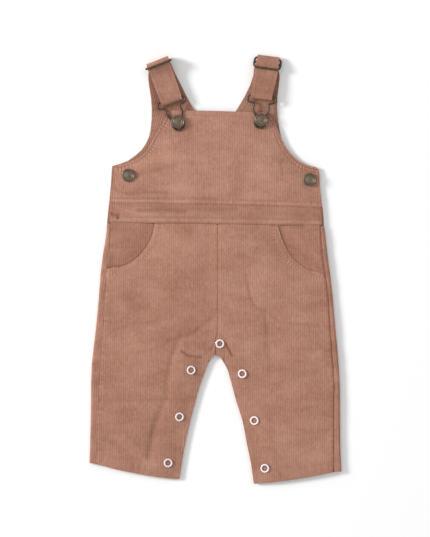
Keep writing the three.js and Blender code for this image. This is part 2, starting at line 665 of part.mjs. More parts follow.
for (const buckle of buckles) {
  const left = buckleHalf.map((p) => ({ x: -p.x, y: p.y })).reverse();
  const clothZ = heightOn(bibGrid, buckle.buttonX, buckle.buttonY);
  const lowZ = clothZ + wireRadius + buckleClearance;
  const points = [...buckleHalf, { x: 0, y: ringBottom }, ...left].map((p) => {
    const turned = new THREE.Vector2(p.x, p.y).rotateAround(new THREE.Vector2(), radians(buckle.turned));
    const z = mix(barZ, lowZ, smooth((-p.y - 2) / 10));
    return new THREE.Vector3(buckle.x + turned.x, buckle.y + turned.y, z);
  });
  add(buckle.name, closedWire(points, 60), "brass");
}

// Buttons: a shallow cap with a rolled rim on a short neck.
function button(name, x, y, clothZ, capZ) {
  const neckBottom = clothZ + layerGap;
  const profile = [
    [0, neckBottom], [neckRadius, neckBottom], [neckRadius, capZ], [buttonRadius - 0.9, capZ],
    [buttonRadius, capZ + 0.9], [buttonRadius - 0.5, capZ + 1.9], [buttonRadius - 1.6, capZ + 2.1],
    [buttonRadius - 2.4, capZ + 1.8], [2.4, capZ + 2.4], [0, capZ + buttonHeight],
  ].map(([radius, z]) => new THREE.Vector2(radius, z));
  add(name, turnedSolid(profile, 16), "brass").position.set(x, y, 0);
}

// A profile of radius and height, turned round the Z axis.
function turnedSolid(profile, sides) {
  return toGeometry(toSolid(new THREE.LatheGeometry(profile, sides).rotateX(Math.PI / 2)));
}

for (const buckle of buckles) {
  const clothZ = heightOn(bibGrid, buckle.buttonX, buckle.buttonY);
  const capZ = clothZ + 2 * buckleClearance + 2 * wireRadius;
  button(buckle.button, buckle.buttonX, buckle.buttonY, clothZ, capZ);
}
const sideButtons = table(["name", "x", "y"], [
  ["side_button_left", -95.7, 102.9],
  ["side_button_right", 103.2, 98],
]);
for (const place of sideButtons) {
  const clothZ = heightOn(bibGrid, place.x, place.y);
  button(place.name, place.x, place.y, clothZ, clothZ + 1.1);
}

// Ring snaps: round the crotch and down both inseams, each following the cloth's slope.
const snaps = table(["name", "x", "y", "grid"], [
  ["snap_centre", 4.8, -82, tabGrid],
  ["snap_left_1", -26.8, -111, legLeftGrid],
  ["snap_left_2", -39.6, -162.4, legLeftGrid],
  ["snap_left_3", -52.1, -212.9, legLeftGrid],
  ["snap_right_1", 29.4, -115, legRightGrid],
  ["snap_right_2", 42.6, -166.4, legRightGrid],
  ["snap_right_3", 54.2, -218.8, legRightGrid],
]);
const snapRise = 0.75; // from the cloth under its middle, to clear the cloth round it
const snapProfile = [
  [snapHoleRadius, 0], [snapRadius - 0.2, 0], [snapRadius, 0.4], [snapRadius - 0.5, snapHeight - 0.2],
  [snapRadius - 1.1, snapHeight], [snapHoleRadius + 0.3, snapHeight - 0.2], [snapHoleRadius, 0],
].map(([radius, z]) => new THREE.Vector2(radius, z));
const slopeReach = 3.6; // on each side of a snap, where the cloth's slope is measured
for (const snap of snaps) {
  const height = (aside, along) => heightOn(snap.grid, snap.x + aside, snap.y + along);
  const slopeX = (height(slopeReach, 0) - height(-slopeReach, 0)) / (2 * slopeReach);
  const slopeY = (height(0, slopeReach) - height(0, -slopeReach)) / (2 * slopeReach);
  const normal = new THREE.Vector3(-slopeX, -slopeY, 1).normalize();
  const mesh = add(snap.name, turnedSolid(snapProfile, 14), "snap");
  mesh.position.set(snap.x, snap.y, height(0, 0) + snapRise);
  mesh.quaternion.setFromUnitVectors(new THREE.Vector3(0, 0, 1), normal);
}

export default overalls;
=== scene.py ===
import math

import bpy
import numpy as np
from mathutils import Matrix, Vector
from mathutils.bvhtree import BVHTree


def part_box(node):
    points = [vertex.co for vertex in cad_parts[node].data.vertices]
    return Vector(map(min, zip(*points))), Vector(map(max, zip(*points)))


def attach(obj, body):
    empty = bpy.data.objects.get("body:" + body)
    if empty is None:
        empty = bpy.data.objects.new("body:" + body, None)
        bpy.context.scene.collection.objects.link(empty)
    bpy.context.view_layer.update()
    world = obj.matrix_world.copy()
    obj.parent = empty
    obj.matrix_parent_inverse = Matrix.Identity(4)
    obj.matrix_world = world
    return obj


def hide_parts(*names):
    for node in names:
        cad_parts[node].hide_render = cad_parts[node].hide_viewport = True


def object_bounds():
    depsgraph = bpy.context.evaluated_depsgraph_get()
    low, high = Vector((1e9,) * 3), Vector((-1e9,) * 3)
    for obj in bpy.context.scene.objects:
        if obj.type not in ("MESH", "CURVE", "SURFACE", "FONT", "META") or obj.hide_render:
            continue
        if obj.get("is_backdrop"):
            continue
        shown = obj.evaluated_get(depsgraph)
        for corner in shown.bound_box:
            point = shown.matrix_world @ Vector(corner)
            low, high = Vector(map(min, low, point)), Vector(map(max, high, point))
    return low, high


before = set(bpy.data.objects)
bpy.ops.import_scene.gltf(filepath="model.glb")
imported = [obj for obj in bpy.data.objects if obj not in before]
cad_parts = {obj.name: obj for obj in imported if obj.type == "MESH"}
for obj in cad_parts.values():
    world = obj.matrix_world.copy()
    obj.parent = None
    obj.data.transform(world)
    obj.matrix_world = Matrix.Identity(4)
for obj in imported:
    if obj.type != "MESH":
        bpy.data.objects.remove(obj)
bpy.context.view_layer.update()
print("frame loaded:", len(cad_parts), "nodes")

# Lengths below are in millimetres, x to the right and y towards the straps, as the garment lies.
mm = 0.001
wale = 2.4  # from one rib of the corduroy to the next
random = np.random.default_rng(11)


def alone(piece):
    if bpy.context.object and bpy.context.object.mode != "OBJECT":
        bpy.ops.object.mode_set(mode="OBJECT")
    bpy.ops.object.select_all(action="DESELECT")
    if piece:
        piece.select_set(True)
        bpy.context.view_layer.objects.active = piece


def finish(piece, material, replaces=()):
    alone(piece)
    piece.data.materials.clear()
    piece.data.materials.append(material)
    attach(piece, "root")
    if replaces:
        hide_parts(*replaces)
    return piece


# Shader maths: a Signal is a socket that numbers and other signals can be added to or scaled by.
class Signal:
    def __init__(self, shader, socket):
        self.shader = shader
        self.socket = socket

    def math(self, operation, first, second=0.0):
        return self.shader.node("ShaderNodeMath", {"operation": operation}, {0: first, 1: second})

    def __add__(self, other):
        return self.math("ADD", self, other)

    def __sub__(self, other):
        return self.math("SUBTRACT", self, other)

    def __rsub__(self, other):
        return self.math("SUBTRACT", other, self)

    def __mul__(self, other):
        return self.math("MULTIPLY", self, other)

    def __pow__(self, other):
        return self.math("POWER", self, other)

    __radd__ = __add__
    __rmul__ = __mul__

    def sine(self):
        return self.math("SINE", self)

    def floor(self):
        return self.math("FLOOR", self)

    def size(self):
        return self.math("ABSOLUTE", self)


class Shader:
    def __init__(self, owner):
        self.owner = owner
        owner.use_nodes = True
        self.tree = owner.node_tree
        self.tree.nodes.clear()

    def node(self, kind, settings=None, inputs=None, output=0):
        made = self.tree.nodes.new(kind)
        for key, value in (settings or {}).items():
            setattr(made, key, value)
        for key, value in (inputs or {}).items():
            if isinstance(value, Signal):
                self.tree.links.new(value.socket, made.inputs[key])
            else:
                made.inputs[key].default_value = value
        return Signal(self, made.outputs[output]) if made.outputs else None

    def split(self, vector):
        parts = [self.node("ShaderNodeSeparateXYZ", None, {0: vector}, axis) for axis in range(3)]
        return parts

    def joined(self, x, y, z):
        return self.node("ShaderNodeCombineXYZ", None, {0: x, 1: y, 2: z})

    def noise(self, vector, scale, detail=2.0):
        return self.node("ShaderNodeTexNoise", None, {"Vector": vector, "Scale": scale, "Detail": detail})

    def blend(self, amount, low, high):
        settings = {"data_type": "RGBA", "clamp_factor": True}
        return self.node("ShaderNodeMix", settings, {0: amount, 6: low, 7: high}, 2)

    def mixing(self, way, first, second):
        settings = {"data_type": "RGBA", "blend_type": way}
        return self.node("ShaderNodeMix", settings, {0: 1.0, 6: first, 7: second}, 2)

    def surface(self, inputs):
        shade = self.node("ShaderNodeBsdfPrincipled", None, inputs)
        self.node("ShaderNodeOutputMaterial", None, {"Surface": shade})
        return self.owner


def scaled(colour, factor):
    return tuple(min(1.0, part * factor) for part in colour) + (1.0,)


# Dyed cotton corduroy: ribs along the grain map, flecks and nap on them, soft clouds over the piece, painted
# shade in the rib valleys.
clothLook = {
    "dark": (0.80, 0.72, 0.68), "light": (1.20, 1.30, 1.36),
    "crest": 0.30, "flecks": 0.75, "ribTone": 0.3, "mottle": 0.8, "nap": 0.35, "clouds": 1.0, "streaks": 0.75,
}


def mixed(tint, factors):
    return tuple(part * factor for part, factor in zip(tint, factors)) + (1.0,)


def corduroy(name, tint, ribBump):
    look = clothLook
    shader = Shader(bpy.data.materials.new(name))
    grain = shader.node("ShaderNodeUVMap", {"uv_map": "grain"})
    x, y, _ = shader.split(grain)
    ribs = x * (1 / (wale * mm))
    along = y * (1 / mm)
    crest = (ribs * math.pi).sine().size() ** 0.6
    flecks = shader.noise(shader.joined(ribs * 0.9, along * 0.16, 0.0), 1.0, 4.0)
    ribTone = shader.noise(shader.joined(ribs.floor() * 3.7, along * 0.03, 4.0), 1.0)
    mottle = shader.noise(shader.joined(ribs * 0.8, along * 0.36, 7.0), 1.0, 3.0)
    nap = shader.noise(shader.joined(ribs * 3.1, along * 1.1, 9.0), 1.0, 3.0)
    place = shader.node("ShaderNodeTexCoord", None, None, 3)
    clouds = shader.noise(place, 30.0, 3.0)
    wide = shader.node("ShaderNodeVectorMath", {"operation": "MULTIPLY"}, {0: place, 1: (38.0, 110.0, 38.0)})
    streaks = shader.noise(wide, 1.0, 3.0)
    # The shade attribute is painted light and shade: below zero it darkens the colour as shade, above zero it
    # adds painted light.
    seam = shader.node("ShaderNodeAttribute", {"attribute_name": "shade"}, None, 2)
    # Rib crests lighter and valleys darker: painted shade in the rib valleys.
    tone = 0.5 + (crest - 0.72) * look["crest"] + (flecks - 0.5) * look["flecks"]
    tone = tone + (ribTone - 0.5) * look["ribTone"] + (mottle - 0.5) * look["mottle"]
    tone = tone + (nap - 0.5) * look["nap"] + (clouds - 0.5) * look["clouds"]
    tone = tone + (streaks - 0.5) * look["streaks"]
    plain = shader.blend(tone, mixed(tint, look["dark"]), mixed(tint, look["light"]))
    paintedShadeColour = shader.blend(seam * -1.0, (1, 1, 1, 1), (0.42, 0.30, 0.26, 1))
    paintedLightColour = shader.blend(seam, (0, 0, 0, 1), mixed(tint, (0.75, 0.75, 0.75)))
    shaded = shader.mixing("MULTIPLY", plain, paintedShadeColour)
    colour = shader.mixing("ADD", shaded, paintedLightColour)
    height = crest * ribBump + nap * 0.25 + mottle * 0.12
    bump = shader.node("ShaderNodeBump", None, {"Height": height, "Strength": 0.6, "Distance": 0.0004})
    return shader.surface({
        "Base Color": colour, "Normal": bump, "Roughness": 0.95, "Specular IOR Level": 0.08,
        "Sheen Weight": 0.16, "Sheen Roughness": 0.5, "Sheen Tint": mixed(tint, (1.9, 1.8, 1.7)),
    })


def threadMaterial(name, tint):
    shader = Shader(bpy.data.materials.new(name))
    place = shader.node("ShaderNodeTexCoord", None, None, 3)
    fuzz = shader.noise(place, 2600.0)
    colour = shader.blend(fuzz, scaled(tint, 0.8), scaled(tint, 1.15))
    bump = shader.node("ShaderNodeBump", None, {"Height": fuzz, "Strength": 0.5, "Distance": 0.0002})
    return shader.surface({"Base Color": colour, "Normal": bump, "Roughness": 0.8, "Sheen Weight": 0.15})


# Antique brass: olive brown, rubbed brighter in soft patches, with fine pits.
def brassMaterial(name, dark, bright):
    shader = Shader(bpy.data.materials.new(name))
    place = shader.node("ShaderNodeTexCoord", None, None, 3)
    patches = shader.noise(place, 420.0, 4.0)
    pits = shader.noise(place, 2400.0, 2.0)
    tone = (patches - 0.5) * 1.2 + 0.5 + (pits - 0.5) * 0.4
    colour = shader.blend(tone, dark + (1.0,), bright + (1.0,))
    roughness = 0.34 + (1 - patches) * 0.28
    bump = shader.node("ShaderNodeBump", None, {"Height": pits, "Strength": 0.25, "Distance": 0.0002})
    return shader.surface({"Base Color": colour, "Normal": bump, "Roughness": roughness, "Metallic": 0.86})


def enamelMaterial(name, tint):
    shader = Shader(bpy.data.materials.new(name))
    place = shader.node("ShaderNodeTexCoord", None, None, 3)
    speck = shader.noise(place, 900.0)
    colour = shader.blend(speck, scaled(tint, 0.96), scaled(tint, 1.03))
    roughness = 0.3 + speck * 0.12
    return shader.surface({"Base Color": colour, "Roughness": roughness, "Coat Weight": 0.25})


tints = {
    "bib": (0.402, 0.206, 0.146),
    "band": (0.372, 0.187, 0.131),
    "leg": (0.378, 0.191, 0.133),
    "hip": (0.352, 0.173, 0.120),
    "back": (0.350, 0.174, 0.122),
    "strap": (0.362, 0.183, 0.129),
}
fabric = {name: corduroy("corduroy_" + name, tint, 0.3) for name, tint in tints.items()}
bumps = {"back": 0.9, "strap": 0.4}
fabricBumped = {name: corduroy("corduroy_bumped_" + name, tints[name], bump) for name, bump in bumps.items()}
thread = threadMaterial("thread", (0.43, 0.228, 0.166))
brass = brassMaterial("antique_brass", (0.084, 0.063, 0.046), (0.285, 0.217, 0.162))
# A darker copy of the brass for the wires: painted shade.
brassWireShaded = brassMaterial("antique_brass_wire", (0.042, 0.032, 0.022), (0.17, 0.133, 0.094))
enamel = enamelMaterial("white_enamel", (0.86, 0.80, 0.84))
print("materials made")


# Smooth line through a few points, with a point about every millimetre.
def smoothLine(points):
    given = [np.array(p, float) for p in points]
    given = [2 * given[0] - given[1]] + given + [2 * given[-1] - given[-2]]
    line = []
    for a, b, c, d in zip(given, given[1:], given[2:], given[3:]):
        steps = max(2, int(np.linalg.norm(c - b) / 1.2))
        for k in range(steps):
            t = k / steps
            line.append(0.5 * (2 * b + (c - a) * t + (2 * a - 5 * b + 4 * c - d) * t * t
                               + (3 * b - 3 * c + d - a) * t ** 3))
    line.append(given[-2])
    return np.array(line)


# Distance of points from a line, positive on its left, and how far along it they are.
def besideLine(line, points):
    start, step = line[:-1], np.diff(line, axis=0)
    length = np.maximum(np.hypot(step[:, 0], step[:, 1]), 1e-9)
    before = np.concatenate([[0], np.cumsum(length)[:-1]])
    distance = np.full(len(points), 1e9)
    run = np.zeros(len(points))
    for a, d, size, passed in zip(start, step, length, before):
        relative = points - a
        t = np.clip((relative @ d) / size ** 2, 0, 1)
        offset = relative - t[:, None] * d
        away = np.hypot(offset[:, 0], offset[:, 1])
        side = np.sign(d[0] * relative[:, 1] - d[1] * relative[:, 0])
        nearer = away < np.abs(distance)
        distance = np.where(nearer, away * np.where(side == 0, 1, side), distance)
        run = np.where(nearer, passed + t * size, run)
    return distance, run


def beside(line, offset):
    step = np.gradient(line, axis=0)
    step /= np.hypot(step[:, 0], step[:, 1])[:, None]
    return line + offset * np.stack([-step[:, 1], step[:, 0]], 1)


def blurredRow(row, kernel):
    start = len(kernel) // 2
    return np.convolve(row, kernel, "full")[start:start + len(row)]


# Soft average of a field over the cells that are inside the piece.
def blurred(field, inside, reach):
    weight = inside.astype(float)
    total = np.where(inside, field, 0.0)
    for axis, cells in zip((1, 0), reach):
        kernel = np.exp(-0.5 * (np.arange(-3 * cells, 3 * cells + 1) / cells) ** 2)
        total = np.apply_along_axis(blurredRow, axis, total, kernel)
        weight = np.apply_along_axis(blurredRow, axis, weight, kernel)
    return total / np.maximum(weight, 1e-9)


def treeOf(mesh):
    return BVHTree.FromPolygons([v.co for v in mesh.vertices], [p.vertices for p in mesh.polygons])


def copyOf(node, name):
    alone(None)
    piece = bpy.data.objects.new(name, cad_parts[node].data.copy())
    bpy.context.scene.collection.objects.link(piece)
    alone(piece)
    bpy.ops.mesh.customdata_custom_splitnormals_clear()
    bpy.ops.object.mode_set(mode="EDIT")
    bpy.ops.mesh.select_all(action="SELECT")
    bpy.ops.mesh.remove_doubles(threshold=0.00001)
    bpy.ops.object.mode_set(mode="OBJECT")
    return piece


# The edge of a flat solid seen from above, as pairs of points.
def rimOf(mesh):
    slopes = {}
    for polygon in mesh.polygons:
        for key in polygon.edge_keys:
            slopes.setdefault(key, []).append(polygon.normal.z)
    rim = [key for key, found in slopes.items() if max(found) > 0.4 and min(map(abs, found)) < 0.2]
    return np.array([[mesh.vertices[a].co.xy[:], mesh.vertices[b].co.xy[:]] for a, b in rim]) / mm


# Where the edge turns sharply, so that a corner of the sheet goes there.
def cornersOf(rim):
    meeting = {}
    for a, b in rim:
        for at, other in ((a, b), (b, a)):
            way = (other - at) / max(1e-6, np.hypot(*(other - at)))
            meeting.setdefault(tuple(np.round(at, 2)), []).append(way)
    return [np.array(at) for at, ways in meeting.items() if len(ways) == 2 and ways[0] @ ways[1] > -0.8]


def nearestOn(rim, points):
    best = np.full(len(points), 1e9)
    spot = points.copy()
    for a, b in rim:
        d = b - a
        t = np.clip(((points - a) @ d) / (d @ d), 0, 1)
        on = a + t[:, None] * d
        away = np.hypot(*(points - on).T)
        nearer = away < best
        best = np.where(nearer, away, best)
        spot = np.where(nearer[:, None], on, spot)
    return best, spot


def castHeights(tree, points, fromZ, down):
    heights = np.full(len(points), np.nan)
    for i, (x, y) in enumerate(points):
        hit = tree.ray_cast(Vector((x * mm, y * mm, fromZ * mm)), Vector((0, 0, down)))[0]
        if hit is not None:
            heights[i] = hit.z / mm
    return heights


# A sheet of cloth on its solid's form: a grid in line with the ribs, cut to the solid's edge,
# dropped on its top, with creases, seams, puckers and ribs, and a wall down to its underside.
# Its shade attribute holds painted shade in creases, seam gaps, rolled edges and walls,
# and painted highlights on seam lips, puckers and ridges.
def clothSheet(node, look):
    grain = math.radians(look.get("grain", 0))
    turn = np.array([[math.cos(grain), math.sin(grain)], [-math.sin(grain), math.cos(grain)]])
    solid = copyOf(node, node + "_form")
    rim = rimOf(solid.data)
    tree = treeOf(solid.data)
    turned = rim.reshape(-1, 2) @ turn.T
    stepU, stepV = look.get("cell", (wale / 4, 1.5))
    low = np.floor(turned.min(0) / (stepU, stepV)) - 1
    count = (np.ceil(turned.max(0) / (stepU, stepV)) + 1 - low).astype(int)
    u = (low[0] + np.arange(count[0] + 1)) * stepU
    v = (low[1] + np.arange(count[1] + 1)) * stepV
    gridU, gridV = np.meshgrid(u, v)
    flat = np.stack([gridU.ravel(), gridV.ravel()], 1)
    world = flat @ turn
    top = castHeights(tree, world, 40, -1).reshape(gridU.shape)
    under = castHeights(tree, world, -40, 1).reshape(gridU.shape)
    inside = ~np.isnan(top) & ~np.isnan(under)
    cells = inside[:-1, :-1] & inside[1:, :-1] & inside[:-1, 1:] & inside[1:, 1:]

    alone(None)
    bpy.ops.mesh.primitive_grid_add(x_subdivisions=int(count[0]), y_subdivisions=int(count[1]), size=1)
    piece = bpy.context.object
    piece.name = look["name"]
    mesh = piece.data
    mesh.vertices.foreach_set("co", np.column_stack([flat * mm, np.zeros(len(flat))]).ravel())
    centres = np.zeros(len(mesh.polygons) * 3)
    mesh.polygons.foreach_get("center", centres)
    centres = centres.reshape(-1, 3)[:, :2] / mm
    column = np.floor((centres[:, 0] - u[0]) / stepU).astype(int)
    row = np.floor((centres[:, 1] - v[0]) / stepV).astype(int)
    bpy.ops.object.mode_set(mode="EDIT")
    bpy.ops.mesh.select_mode(type="FACE")
    bpy.ops.mesh.select_all(action="DESELECT")
    bpy.ops.object.mode_set(mode="OBJECT")
    mesh.polygons.foreach_set("select", ~cells[row, column])
    bpy.ops.object.mode_set(mode="EDIT")
    bpy.ops.mesh.delete(type="FACE")
    bpy.ops.mesh.select_all(action="SELECT")
    bpy.ops.mesh.extrude_region_move(TRANSFORM_OT_translate={"value": (0, 0, 1)})
    bpy.ops.mesh.select_all(action="SELECT")
    bpy.ops.mesh.normals_make_consistent(inside=False)
    bpy.ops.object.mode_set(mode="OBJECT")

    around = np.zeros(gridU.shape, int)
    for rows in (slice(None, -1), slice(1, None)):
        for columns in (slice(None, -1), slice(1, None)):
            around[rows, columns] += cells
    used = around.ravel() > 0
    edge = used & (around.ravel() < 4)
    placed = world.copy()
    gap, spot = nearestOn(rim, world[edge])
    tuckedAbove, tucked = look.get("tuck", (1e9, 0))
    outward = np.where(spot[:, 1] > tuckedAbove, tucked, look.get("reach", 0.13))
    placed[edge] = spot + (spot - world[edge]) / np.maximum(gap, 0.01)[:, None] * outward[:, None]
    edgePoints = np.flatnonzero(edge)
    for corner in cornersOf(rim):
        away = np.hypot(*(placed[edgePoints] - corner).T)
        if away.min() < 1.5 and corner[1] < tuckedAbove:
            placed[edgePoints[away.argmin()]] = corner
    fromRim = np.full(len(world), 99.0)
    fromRim[used] = nearestOn(rim, placed[used])[0]
    reach = [max(1, int(round(look.get("blur", 4) / step))) for step in (stepU, stepV)]
    topZ = blurred(top, inside, reach).ravel()
    underZ = blurred(under, inside, reach).ravel()
    softness = look.get("softness", 0.22)
    wide = [max(1, int(round(14 / step))) for step in (stepU, stepV)]
    waves = blurred(random.normal(size=gridU.shape), inside, wide)
    waves = (waves / max(1e-9, waves[inside].std())).ravel() * softness
    near = [max(1, int(round(reach / step))) for reach, step in zip(look.get("ruck", (7, 3.5)), (stepU, stepV))]
    rucks = blurred(random.normal(size=gridU.shape), inside, near)
    waves += (rucks / max(1e-9, rucks[inside].std())).ravel() * softness * 0.45
    inner = np.clip(fromRim / 9, 0, 1)
    lift = waves * inner
    shade = np.zeros(len(world))
    # Each crease is painted darker in its hollow as shade; a negative shade paints a ridge lighter as light.
    for crease in look.get("creases", []):
        away, _ = besideLine(smoothLine(crease["line"]), placed)
        hollow = np.exp(-(away / crease["width"]) ** 2)
        lift -= crease["depth"] * hollow * (1 if crease.get("toRim") else np.clip(fromRim / 2, 0, 1))
        shade -= crease.get("shade", 0.0) * hollow
    for seam in look.get("seams", []):
        away, run = besideLine(smoothLine(seam["line"]), placed)
        if "welt" in seam:
            start, end, height = seam["welt"]
            band = np.clip((away - start) / 0.8 + 0.5, 0, 1) * np.clip((end - away) / 0.8 + 0.5, 0, 1)
            lift += height * band
        for offset in seam.get("stitched", []):
            groove = np.exp(-((away - offset) / 0.7) ** 2)
            lift -= seam.get("groove", 0.3) * groove
            shade -= seam.get("grooveShade", 0.12) * groove
        # Light and dark lines beside a seam: painted highlight on its lip, painted shade in its gap.
        for offset, width, tone in seam.get("lines", []):
            shade += tone * np.exp(-((away - offset) / width) ** 2)
        # Ticks across a seam: puckers drawn as painted light and shade, with a little lift.
        if "ticks" in seam:
            spacing, width, tone = seam["ticks"]
            beat = np.sin(2 * math.pi * run / spacing + np.sin(run / 9.0) * 2)
            beat *= 0.5 + 0.5 * np.sin(run / 5.3 + seam["line"][0][1])
            strip = np.exp(-((away - seam.get("ticksAt", 3)) / width) ** 2)
            shade += tone * beat * strip
            lift += 0.3 * tone * beat * strip
        if "pucker" in seam:
            height, spacing, width = seam["pucker"]
            wander = np.sin(run / 11.0 + 1.7) * 1.3 + np.sin(run / 4.3) * 0.6
            ripple = np.sin(2 * math.pi * run / spacing + wander)
            ripple *= 0.55 + 0.45 * np.sin(run / 7.7 + seam["line"][0][0])
            strip = np.exp(-((away - seam.get("puckerAt", 3)) / width) ** 2)
            lift += height * ripple * strip
            # Painted light and shade on the puckers.
            shade += 0.5 * height * ripple * strip
    # Dots: a dome and pit, with painted shade or highlight at the middle and painted shade beside the ring.
    for dot in look.get("dots", []):
        away = np.hypot(placed[:, 0] - dot["at"][0], placed[:, 1] - dot["at"][1])
        lift += dot["dome"] * np.clip(1 - (away / dot["radius"]) ** 2, 0, 1)
        lift -= dot.get("pit", 0.4) * np.exp(-(away / 0.7) ** 2)
        shade -= dot.get("shade", 0.35) * np.exp(-(away / 0.75) ** 2)
        shade -= dot.get("around", 0.2) * np.exp(-((away - dot["radius"]) / 0.8) ** 2)
    roll = np.clip(1 - fromRim / look.get("roll", 1.1), 0, 1) ** 2
    for line in look.get("flush", []):
        away, _ = besideLine(smoothLine(line), placed)
        roll *= np.clip(np.abs(away) / 2 - 0.5, 0, 1)
    # The rolled edge is painted darker as shade.
    shade -= look.get("rimShade", 0.1) * roll
    ribs = np.abs(np.sin(math.pi * flat[:, 0] / wale)) ** 0.6 - 0.7
    strength = 1 + 0.35 * np.sin(flat[:, 1] / 17 + np.floor(flat[:, 0] / wale) * 2.1)
    topZ = topZ + lift + look.get("rib", 0.09) * ribs * strength - look.get("drop", 0.5) * roll
    topZ = np.maximum(topZ, underZ + 0.35)

    points = np.zeros(len(mesh.vertices) * 3)
    mesh.vertices.foreach_get("co", points)
    points = points.reshape(-1, 3)
    i = np.round((points[:, 0] / mm - u[0]) / stepU).astype(int)
    j = np.round((points[:, 1] / mm - v[0]) / stepV).astype(int)
    at = j * gridU.shape[1] + i
    isTop = points[:, 2] > 0.5
    height = np.where(isTop, topZ[at], underZ[at])
    mesh.vertices.foreach_set("co", (np.column_stack([placed[at], height]) * mm).ravel())
    # Walls are painted slightly darker as shade.
    tone = mesh.attributes.new("shade", "FLOAT", "POINT")
    tone.data.foreach_set("value", np.where(isTop, shade[at], -0.1))
    setGrain(piece, (placed @ turn.T)[at])
    mesh.update()
    bpy.data.objects.remove(solid)
    alone(piece)
    bpy.ops.object.shade_smooth_by_angle(angle=math.radians(55))
    print("sheet", look["name"], len(mesh.polygons), "faces")
    return piece


def setGrain(piece, across):
    mesh = piece.data
    while mesh.uv_layers:
        mesh.uv_layers.remove(mesh.uv_layers[0])
    layer = mesh.uv_layers.new(name="grain")
    corners = np.zeros(len(mesh.loops), int)
    mesh.loops.foreach_get("vertex_index", corners)
    layer.data.foreach_set("uv", (across[corners] * mm).astype(np.float32).ravel())


# Stitches: one short waxed stitch is modelled once and copied along each line.
stitchSize = {"length": 2.5, "gap": 0.7, "radius": 0.25}


def stitchForm():
    alone(None)
    bpy.ops.mesh.primitive_uv_sphere_add(segments=6, ring_count=5, radius=1)
    form = bpy.context.object
    bpy.ops.object.mode_set(mode="EDIT")
    bpy.ops.mesh.select_all(action="SELECT")
    bpy.ops.transform.rotate(value=math.pi / 2, orient_axis="Y", center_override=(0, 0, 0))
    bpy.ops.transform.resize(value=(stitchSize["length"] / 2, stitchSize["radius"], stitchSize["radius"] * 0.8))
    bpy.ops.object.mode_set(mode="OBJECT")
    points = np.array([v.co[:] for v in form.data.vertices])
    faces = [tuple(p.vertices) for p in form.data.polygons]
    bpy.data.objects.remove(form)
    return points, faces


stitchPoints, stitchFaces = stitchForm()


def stitchRows(name, on, lines, lift=0.02):
    tree = treeOf(on.data)
    points, faces = [], []
    for line in lines:
        step = np.diff(line, axis=0)
        run = np.concatenate([[0], np.cumsum(np.hypot(step[:, 0], step[:, 1]))])
        pitch = stitchSize["length"] + stitchSize["gap"]
        for middle in np.arange(pitch / 2, run[-1], pitch):
            ends = [middle - pitch / 3, middle + pitch / 3]
            spots = [(np.interp(r, run, line[:, 0]), np.interp(r, run, line[:, 1])) for r in ends]
            z = castHeights(tree, spots, 40, -1)
            if np.isnan(z).any() or abs(z[1] - z[0]) > 1:
                continue
            tips = [Vector((spot[0], spot[1], height)) for spot, height in zip(spots, z)]
            turn = (tips[1] - tips[0]).to_track_quat("X", "Z").to_matrix()
            centre = np.array((tips[0] + tips[1]) / 2) + (0, 0, lift)
            placed = stitchPoints @ np.array(turn).T + centre
            faces += [tuple(i + len(points) * len(stitchPoints) for i in face) for face in stitchFaces]
            points.append(placed)
    mesh = bpy.data.meshes.new(name)
    mesh.from_pydata((np.concatenate(points) * mm).tolist(), [], faces)
    piece = bpy.data.objects.new(name, mesh)
    bpy.context.scene.collection.objects.link(piece)
    alone(piece)
    bpy.ops.object.shade_smooth()
    return finish(piece, thread)


def stitchedLines(look):
    lines = []
    for seam in look.get("seams", []):
        lines += [beside(smoothLine(seam["line"]), offset) for offset in seam.get("stitched", [])]
    return lines + [smoothLine(row) for row in look.get("tacks", [])]


def sewnSheet(node, look, cloth):
    piece = clothSheet(node, look)
    finish(piece, cloth, [node])
    lines = stitchedLines(look)
    stitches = [stitchRows(look["name"] + "_stitches", piece, lines)] if lines else []
    return piece


# Seams that two pieces share, as y at x.
def waistTop(x):
    return 71.2 - 0.0205 * x - 0.00006 * x * x


def waistBottom(x):
    return 49.8 - 0.0146 * x - 0.00003 * x * x


def waistLine(yAt, left, right):
    return [(x, yAt(x)) for x in np.linspace(left, right, 9)]


armholeLeft = [(-50.4, 174.4), (-52.9, 170.4), (-56.7, 162.8), (-61.4, 155), (-67.7, 144.7),
               (-73.2, 133.6), (-80.2, 125.2), (-88.9, 119.9), (-99.5, 115.6), (-109.6, 113.6)]
armholeRight = [(111.6, 111.2), (101, 113.6), (91.9, 118), (84, 125), (77, 134), (72, 144.4),
                (68.3, 153.3), (63.4, 163), (58.6, 169), (56, 171.7)]

